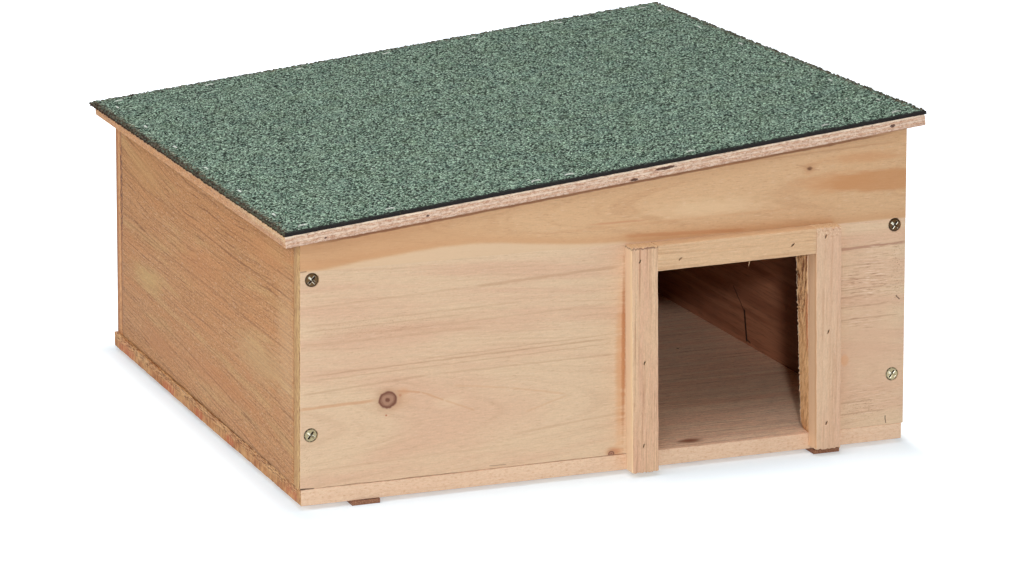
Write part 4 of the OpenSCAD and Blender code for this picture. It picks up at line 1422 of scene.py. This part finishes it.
def add_loop(bm, corners):
    verts = [bm.verts.new(corner) for corner in corners]
    return [bm.edges.new((verts[i - 1], verts[i])) for i in range(len(verts))]


def turn_of(face):
    """Where a face lies round a screw's middle, so that bevels are always taken in the same order."""
    middle = face.calc_center_median()
    return (math.atan2(middle.y, middle.x) + 0.1) % (2 * math.pi)


def recess_share(place):
    """How bright one face of the cross recess is: one bar is in shade and the other catches light."""
    if abs(place.x) > abs(place.y):
        return 0.0
    return 1.0 if place.y > 0 else 0.3


def add_screw(bm, place, plate_share, dice):
    """One countersunk screw along -Z, head up, moved to its place."""
    made = bmesh.new()
    glint_and_shade = made.faces.layers.float.new("glint_and_shade")
    plate = made.faces.layers.float.new("plate")
    turns = [2 * math.pi * i / RIM_SIDES for i in range(RIM_SIDES)]
    flat_r = HEAD_R * 0.84
    rim = add_loop(made, [(flat_r * math.cos(turn), flat_r * math.sin(turn), 0.2 * MM) for turn in turns])
    wing_edges = add_loop(made, cross_outline(WING_RIM, 0.28 * MM))
    top = bmesh.ops.triangle_fill(made, use_beauty=True, use_dissolve=False, edges=rim + wing_edges)
    for face in only(top, BMFace):
        face[glint_and_shade] = 0.5

    # The recess: a narrow bevel with random painted glints, then its walls and its floor, one bar in painted
    # shade and the other painted bright
    chamfer = bmesh.ops.extrude_edge_only(made, edges=wing_edges)
    inner, inner_edges = new_rim(chamfer)
    for vert in inner:
        for i in (0, 1):
            vert.co[i] -= math.copysign(WING_RIM, vert.co[i])
        vert.co.z = 0.1 * MM
    for face in sorted(only(chamfer, BMFace), key=turn_of):
        face[glint_and_shade] = dice.choice((0.25, 0.7, 1.0))
    walls = bmesh.ops.extrude_edge_only(made, edges=inner_edges)
    lower, lower_edges = new_rim(walls)
    bmesh.ops.scale(made, vec=(0.78, 0.78, 1), verts=lower)
    bmesh.ops.translate(made, vec=(0, 0, -0.8 * MM), verts=lower)
    base = bmesh.ops.triangle_fill(made, use_beauty=True, use_dissolve=False, edges=lower_edges)
    for face in only(walls, BMFace) + only(base, BMFace):
        face[glint_and_shade] = recess_share(face.calc_center_median())

    for radius, z, share in SCREW_RINGS:
        grown = bmesh.ops.extrude_edge_only(made, edges=rim)
        verts, rim = new_rim(grown)
        for vert in verts:
            out = Vector((vert.co.x, vert.co.y, 0)).normalized() * radius
            vert.co = Vector((out.x, out.y, z))
        for face in only(grown, BMFace):
            face[glint_and_shade] = share
    bmesh.ops.edgeloop_fill(made, edges=rim)
    for face in made.faces:
        face[plate] = plate_share
    bmesh.ops.recalc_face_normals(made, faces=made.faces)
    bmesh.ops.transform(made, matrix=place, verts=made.verts)
    join(bm, made)


def build_screws():
    dice = random.Random(8)
    for side, face_y, inward in (("front", 0.0, 1), ("back", HOUSE_D, -1)):
        bm = bmesh.new()
        for layer in ("glint_and_shade", "plate"):
            bm.faces.layers.float.new(layer)
        for turn, plate_share, middle in zip(SCREW_TURNS, SCREW_PLATES, screw_places(side)):
            place = (Matrix.Translation((middle.x, face_y + inward * HEAD_SUNK, middle.z))
                     @ Matrix.Rotation(math.radians(inward * 90), 4, "X")
                     @ Matrix.Rotation(math.radians(turn), 4, "Z"))
            add_screw(bm, place, plate_share, dice)
        close_in(bm.verts)
        add_piece(side + "_countersunk_screws", bm, YELLOW_ZINC, "house", "yellow_zinc",
                  side + "_wall_screws")


# Roof
def build_roof_board():
    outline = [(ROOF_LEFT, 0), (BOARD_RIGHT, 0), (BOARD_RIGHT, ROOF_T), (ROOF_LEFT, ROOF_T)]
    bm = slab(outline, "Y", ROOF_FRONT, BOARD_BACK)
    soften(bm, THIN_EDGE)
    cut_across(bm, "X", 4 * MM)
    cut_across(bm, "Y", 6 * MM)
    cut_across(bm, "Z", ROOF_T / PLIES, 0, ROOF_T)
    for vert in bm.verts:
        ply = int(vert.co.z / (ROOF_T / PLIES) + 0.5)
        rough = uneven(vert.co.x / (3 * MM), vert.co.y / (3 * MM), ply * 3.7)
        back_off = (0.12 + 0.22 * rough) * MM * (1 if ply % 2 else 0.4)
        for i, low, high in ((1, ROOF_FRONT, BOARD_BACK), (0, ROOF_LEFT, BOARD_RIGHT)):
            if vert.co[i] < low + 0.4 * MM:
                vert.co[i] += back_off
            if vert.co[i] > high - 0.4 * MM:
                vert.co[i] -= back_off
    add_piece("plywood_roof_board", bm, PLYWOOD, "roof", "plywood", "roof_board", transform=ON_ROOF)


# How thick the battens under the roof are
BATTEN = 15 * MM


def build_roof_battens():
    for side in ("left", "right"):
        node = "roof_batten_" + side
        low, high = house_box(node)
        if side == "left":
            start = low.x / math.cos(SLOPE)
        else:
            start = (high.x - BATTEN * math.sin(SLOPE)) / math.cos(SLOPE) - BATTEN
        bm = box_slab(Vector((start, low.y, -BATTEN)), Vector((start + BATTEN, high.y, 0)))
        soften(bm, 0.4 * MM)
        cut_across(bm, "Y", 12 * MM)
        weather(bm, 0.12 * MM, 9 * MM, 3.0)
        add_piece("sawn_" + node, bm, WOOD["batten"], "roof", "trim_battens", node, transform=ON_ROOF)


# The spacing of the felt's points, how far a loose edge hangs for each metre past the board, and how many
# crumbs lie along its cut edges
GRAIN_STEP = 1.4 * MM
DROOP = 0.35
CRUMBS = 3000


def droop(x, y):
    """How far the felt hangs where nothing carries it."""
    out = max(0.0, ROOF_LEFT - x, y - BOARD_BACK, x - BOARD_RIGHT)
    return DROOP * out


def build_felt():
    columns = round((ROOF_RIGHT - ROOF_LEFT) / GRAIN_STEP)
    rows = round((FELT_BACK - ROOF_FRONT) / GRAIN_STEP)
    bm = bmesh.new()
    bmesh.ops.create_grid(bm, x_segments=columns, y_segments=rows, size=0.5)
    dice = random.Random(11)
    edges = [edge for edge in bm.edges if edge.is_boundary]
    rim = {vert for edge in edges for vert in edge.verts}
    for vert in bm.verts:
        y = ROOF_FRONT + (vert.co.y + 0.5) * (FELT_BACK - ROOF_FRONT)
        left = felt_left(y)
        x = left + (vert.co.x + 0.5) * (FELT_RIGHT - left)
        clump = uneven(x / (3.2 * MM), y / (3.2 * MM), 4.0)
        lift = (dice.random() ** 1.4 * 0.75 + 0.3 * clump) * MM
        if vert in rim:
            y += (dice.random() - 0.5) * (0.5 if y < 0 else 1.1) * MM
            x += (dice.random() - 0.5) * 0.8 * MM
            lift *= 0.4
        else:
            x += (dice.random() - 0.5) * 0.8 * MM
            y += (dice.random() - 0.5) * 0.8 * MM
        vert.co = Vector((x, y, ROOF_T + FELT_T - 0.35 * MM + lift - droop(x, y)))
    lower, ring = new_rim(bmesh.ops.extrude_edge_only(bm, edges=edges))
    for vert in lower:
        vert.co.z = ROOF_T - droop(vert.co.x, vert.co.y)
    bmesh.ops.edgeloop_fill(bm, edges=ring)
    bmesh.ops.recalc_face_normals(bm, faces=bm.faces)
    add_piece("mineral_roofing_felt", bm, FELT, "roof", "roofing_felt", "roof_felt", smooth=False,
              transform=ON_ROOF)


def build_edge_stones():
    """Crumbs of stone and bitumen along the felt's left, right and back edges."""
    bm = bmesh.new()
    dice = random.Random(5)
    for _ in range(CRUMBS):
        edge = dice.choice(("left", "back", "back", "back", "right"))
        along = dice.random()
        if edge == "back":
            x = felt_left(FELT_BACK) + along * (FELT_RIGHT - felt_left(FELT_BACK))
            y = FELT_BACK - dice.random() ** 2 * 3.5 * MM
        else:
            y = ROOF_FRONT + along * (FELT_BACK - ROOF_FRONT)
            inward = dice.random() ** 2 * 2.5 * MM
            x = felt_left(y) + inward if edge == "left" else FELT_RIGHT - inward
        size = dice.uniform(0.35, 1.2 if edge == "back" else 1.0) * MM
        z = ROOF_T + FELT_T + dice.uniform(-0.5, 0.4) * MM - droop(x, y)
        place = (Matrix.Translation((x, y, z)) @ Matrix.Rotation(dice.uniform(0, 3.1), 4, "Z")
                 @ Matrix.Rotation(dice.uniform(0, 3.1), 4, "X")
                 @ Matrix.Diagonal((size, size * dice.uniform(0.6, 1), size * dice.uniform(0.5, 0.9), 1)))
        bmesh.ops.create_icosphere(bm, subdivisions=1, radius=1.0, matrix=place)
    add_piece("felt_edge_crumbs", bm, STONE, "roof", "roofing_felt", smooth=False, transform=ON_ROOF)


# A staple's width over its legs, the length of a leg, and the wire's thickness and width
STAPLE_W = 5.8 * MM
STAPLE_LEG = 7 * MM
WIRE_T = 0.6 * MM
WIRE_W = 1.1 * MM


def build_staples():
    """Wire crowns that bow a little above the granules."""
    bm = bmesh.new()
    to_roof = ON_ROOF.inverted()
    for low, high in islands("felt_staples"):
        middle = to_roof @ (HOUSE + (low + high) / 2)
        along_x = (high.x - low.x) > (high.y - low.y)
        turn = Matrix.Rotation(math.radians(0 if along_x else 90), 4, "Z")
        place = Matrix.Translation((middle.x, middle.y, ROOF_T + FELT_T)) @ turn
        rise, bow = (0.3 * MM, 0.35 * MM) if middle.y < ROOF_FRONT + 12 * MM else (-0.22 * MM, 0.3 * MM)
        crown = bmesh.new()
        shape = Matrix.Diagonal((STAPLE_W, WIRE_W, WIRE_T, 1))
        bmesh.ops.create_cube(crown, size=1.0, matrix=Matrix.Translation((0, 0, rise)) @ shape)
        cut_across(crown, "X", 0.7 * MM)
        for vert in crown.verts:
            vert.co.z += (1 - (vert.co.x / (STAPLE_W / 2)) ** 2) * bow
        soften(crown, 0.12 * MM)
        bmesh.ops.transform(crown, matrix=place, verts=crown.verts)
        join(bm, crown)
        for end in (-1, 1):
            leg = place @ Matrix.Translation((end * (STAPLE_W - WIRE_T) / 2, 0, -3.3 * MM))
            shape = Matrix.Diagonal((WIRE_T, WIRE_W, STAPLE_LEG, 1))
            bmesh.ops.create_cube(bm, size=1.0, matrix=leg @ shape)
    add_piece("felt_wire_staples", bm, STAPLE_WIRE, "roof", "bright_steel", "felt_staples",
              transform=ON_ROOF)


def dress_hidden_fasteners():
    for node in ("floor_nails", "partition_nails", "foot_strip_pins", "roof_batten_pins"):
        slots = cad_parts[node].data.materials
        slots.clear()
        slots.append(BRIGHT_STEEL)


# Studio
GROUND_HALF = 6
# How far in front of the house the ground turns white, and how bright it glows at the house's foot, where
# the dimmer glow is a painted shadow
WHITE_FROM = 110 * MM
SHADED = 0.29
# How much sooner it turns white on each side than in front
FADE_LEFT, FADE_RIGHT, FADE_FRONT, FADE_BACK = 2.7, 6, 1, 3
HOUSE_MIDDLE = HOUSE + Vector((HOUSE_W / 2, HOUSE_D / 2, 0.1))
JAMB = HOUSE + Vector((DOOR_RIGHT, WALL_T, 0.07))
# Lamps: where each one points, its azimuth and height in degrees, its distance, its size and its watts
LAMPS = (
    ("key", JAMB, -21.8, 19, 2.9, 0.14, 26),
    ("front_soft", HOUSE_MIDDLE, -24, 50, 2.8, 1.0, 12.5),
    ("left_soft", HOUSE_MIDDLE, -55, 35, 2.8, 1.2, 7.5),
    ("side", HOUSE_MIDDLE, -86, 26, 2.8, 1.2, 24),
    ("top", HOUSE_MIDDLE, -40, 80, 2.6, 1.4, 19),
    ("right", HOUSE_MIDDLE, 75, 15, 3.0, 1.8, 19),
    ("back", HOUSE_MIDDLE, 170, 15, 3.0, 1.8, 26),
)


def lay_ground():
    """A pale floor that glows white a little way from the house, and dimmer near it, as a painted shadow
    round its foot.
    """
    bm = bmesh.new()
    bmesh.ops.create_grid(bm, x_segments=1, y_segments=1, size=GROUND_HALF)
    mesh = bpy.data.meshes.new("studio_floor")
    bm.to_mesh(mesh)
    bm.free()
    tree = Tree("studio_floor")
    x, y, _ = tree.house_mm()
    away = []
    for past, fading in ((tree.times(x, -1), FADE_LEFT), (tree.minus(x, HOUSE_W / MM), FADE_RIGHT),
                         (tree.times(y, -1), FADE_FRONT), (tree.minus(y, HOUSE_D / MM), FADE_BACK)):
        outside = tree.times(tree.most(past, 0), fading)
        away.append(tree.times(outside, outside))
    seen = tree.node("LightPath", {}).outputs["Is Camera Ray"]
    # Painted shadow: seen from the camera, the glow dims towards the house's foot
    shown = tree.between(tree.math("SQRT", tree.add(*away)), 0, WHITE_FROM / MM, SHADED, 1)
    strength = tree.blend(seen, 0.3, shown)
    glow = tree.node("Emission", {"Color": (0.95, 0.98, 1.0, 1), "Strength": strength})
    matt = tree.node("BsdfDiffuse", {"Color": (0.67, 0.75, 0.81, 1)})
    both = tree.node("AddShader", {0: glow.outputs[0], 1: matt.outputs[0]})
    tree.node("OutputMaterial", {"Surface": both.outputs[0]})
    mesh.materials.append(tree.owner)
    floor = bpy.data.objects.new("studio_floor", mesh)
    bpy.context.scene.collection.objects.link(floor)


def paint_sky():
    """A white backdrop that gives only a little light."""
    sky = Tree("studio", bpy.data.worlds)
    seen = sky.node("LightPath", {}).outputs["Is Camera Ray"]
    light, shown = [sky.node("Background", {"Color": (1, 1, 1, 1), "Strength": strength})
                    for strength in (0.1, 1.0)]
    mixed = sky.node("MixShader", {0: seen, 1: light.outputs[0], 2: shown.outputs[0]})
    sky.node("OutputWorld", {0: mixed.outputs[0]})
    bpy.context.scene.world = sky.owner
    bpy.context.scene.view_settings.view_transform = "Standard"


def hang_lamps():
    for name, target, azimuth, height, distance, size, power in LAMPS:
        lamp = bpy.data.lights.new(name, "AREA")
        lamp.shape = "DISK"
        lamp.size = size
        lamp.energy = power
        a, e = math.radians(azimuth), math.radians(height)
        away = Vector((math.sin(a) * math.cos(e), -math.cos(a) * math.cos(e), math.sin(e)))
        holder = bpy.data.objects.new(name, lamp)
        holder.location = target + away * distance
        holder.rotation_mode = "QUATERNION"
        holder.rotation_quaternion = (-away).to_track_quat("-Z", "Y")
        bpy.context.scene.collection.objects.link(holder)


# Camera, fitted to the house's edges in the photograph
CAMERA_YAW = math.radians(21.257)
CAMERA_PITCH = math.radians(14.046)
CAMERA_PLACE = Vector((-0.6719, -2.0751, 0.6854))
CAMERA_FOCUS_PX = 3815.5
PHOTO_WIDTH_PX = 1024
SENSOR_MM = 36.0


def build_camera():
    data = bpy.data.cameras.new("camera")
    data.sensor_width = SENSOR_MM
    data.lens = SENSOR_MM * CAMERA_FOCUS_PX / PHOTO_WIDTH_PX
    camera = bpy.data.objects.new("camera", data)
    ahead = math.cos(CAMERA_PITCH)
    look = Vector((math.sin(CAMERA_YAW) * ahead, math.cos(CAMERA_YAW) * ahead, -math.sin(CAMERA_PITCH)))
    camera.location = HOUSE + CAMERA_PLACE
    camera.rotation_mode = "QUATERNION"
    camera.rotation_quaternion = look.to_track_quat("-Z", "Y")
    bpy.context.scene.collection.objects.link(camera)
    bpy.context.scene.camera = camera


build_camera()
lay_ground()
paint_sky()
hang_lamps()
build_feet()
build_floor()
build_front_lower()
build_other_walls()
build_partition()
build_posts()
build_lintel()
build_brads()
build_screws()
build_roof_board()
build_roof_battens()
build_felt()
build_edge_stones()
build_staples()
dress_hidden_fasteners()
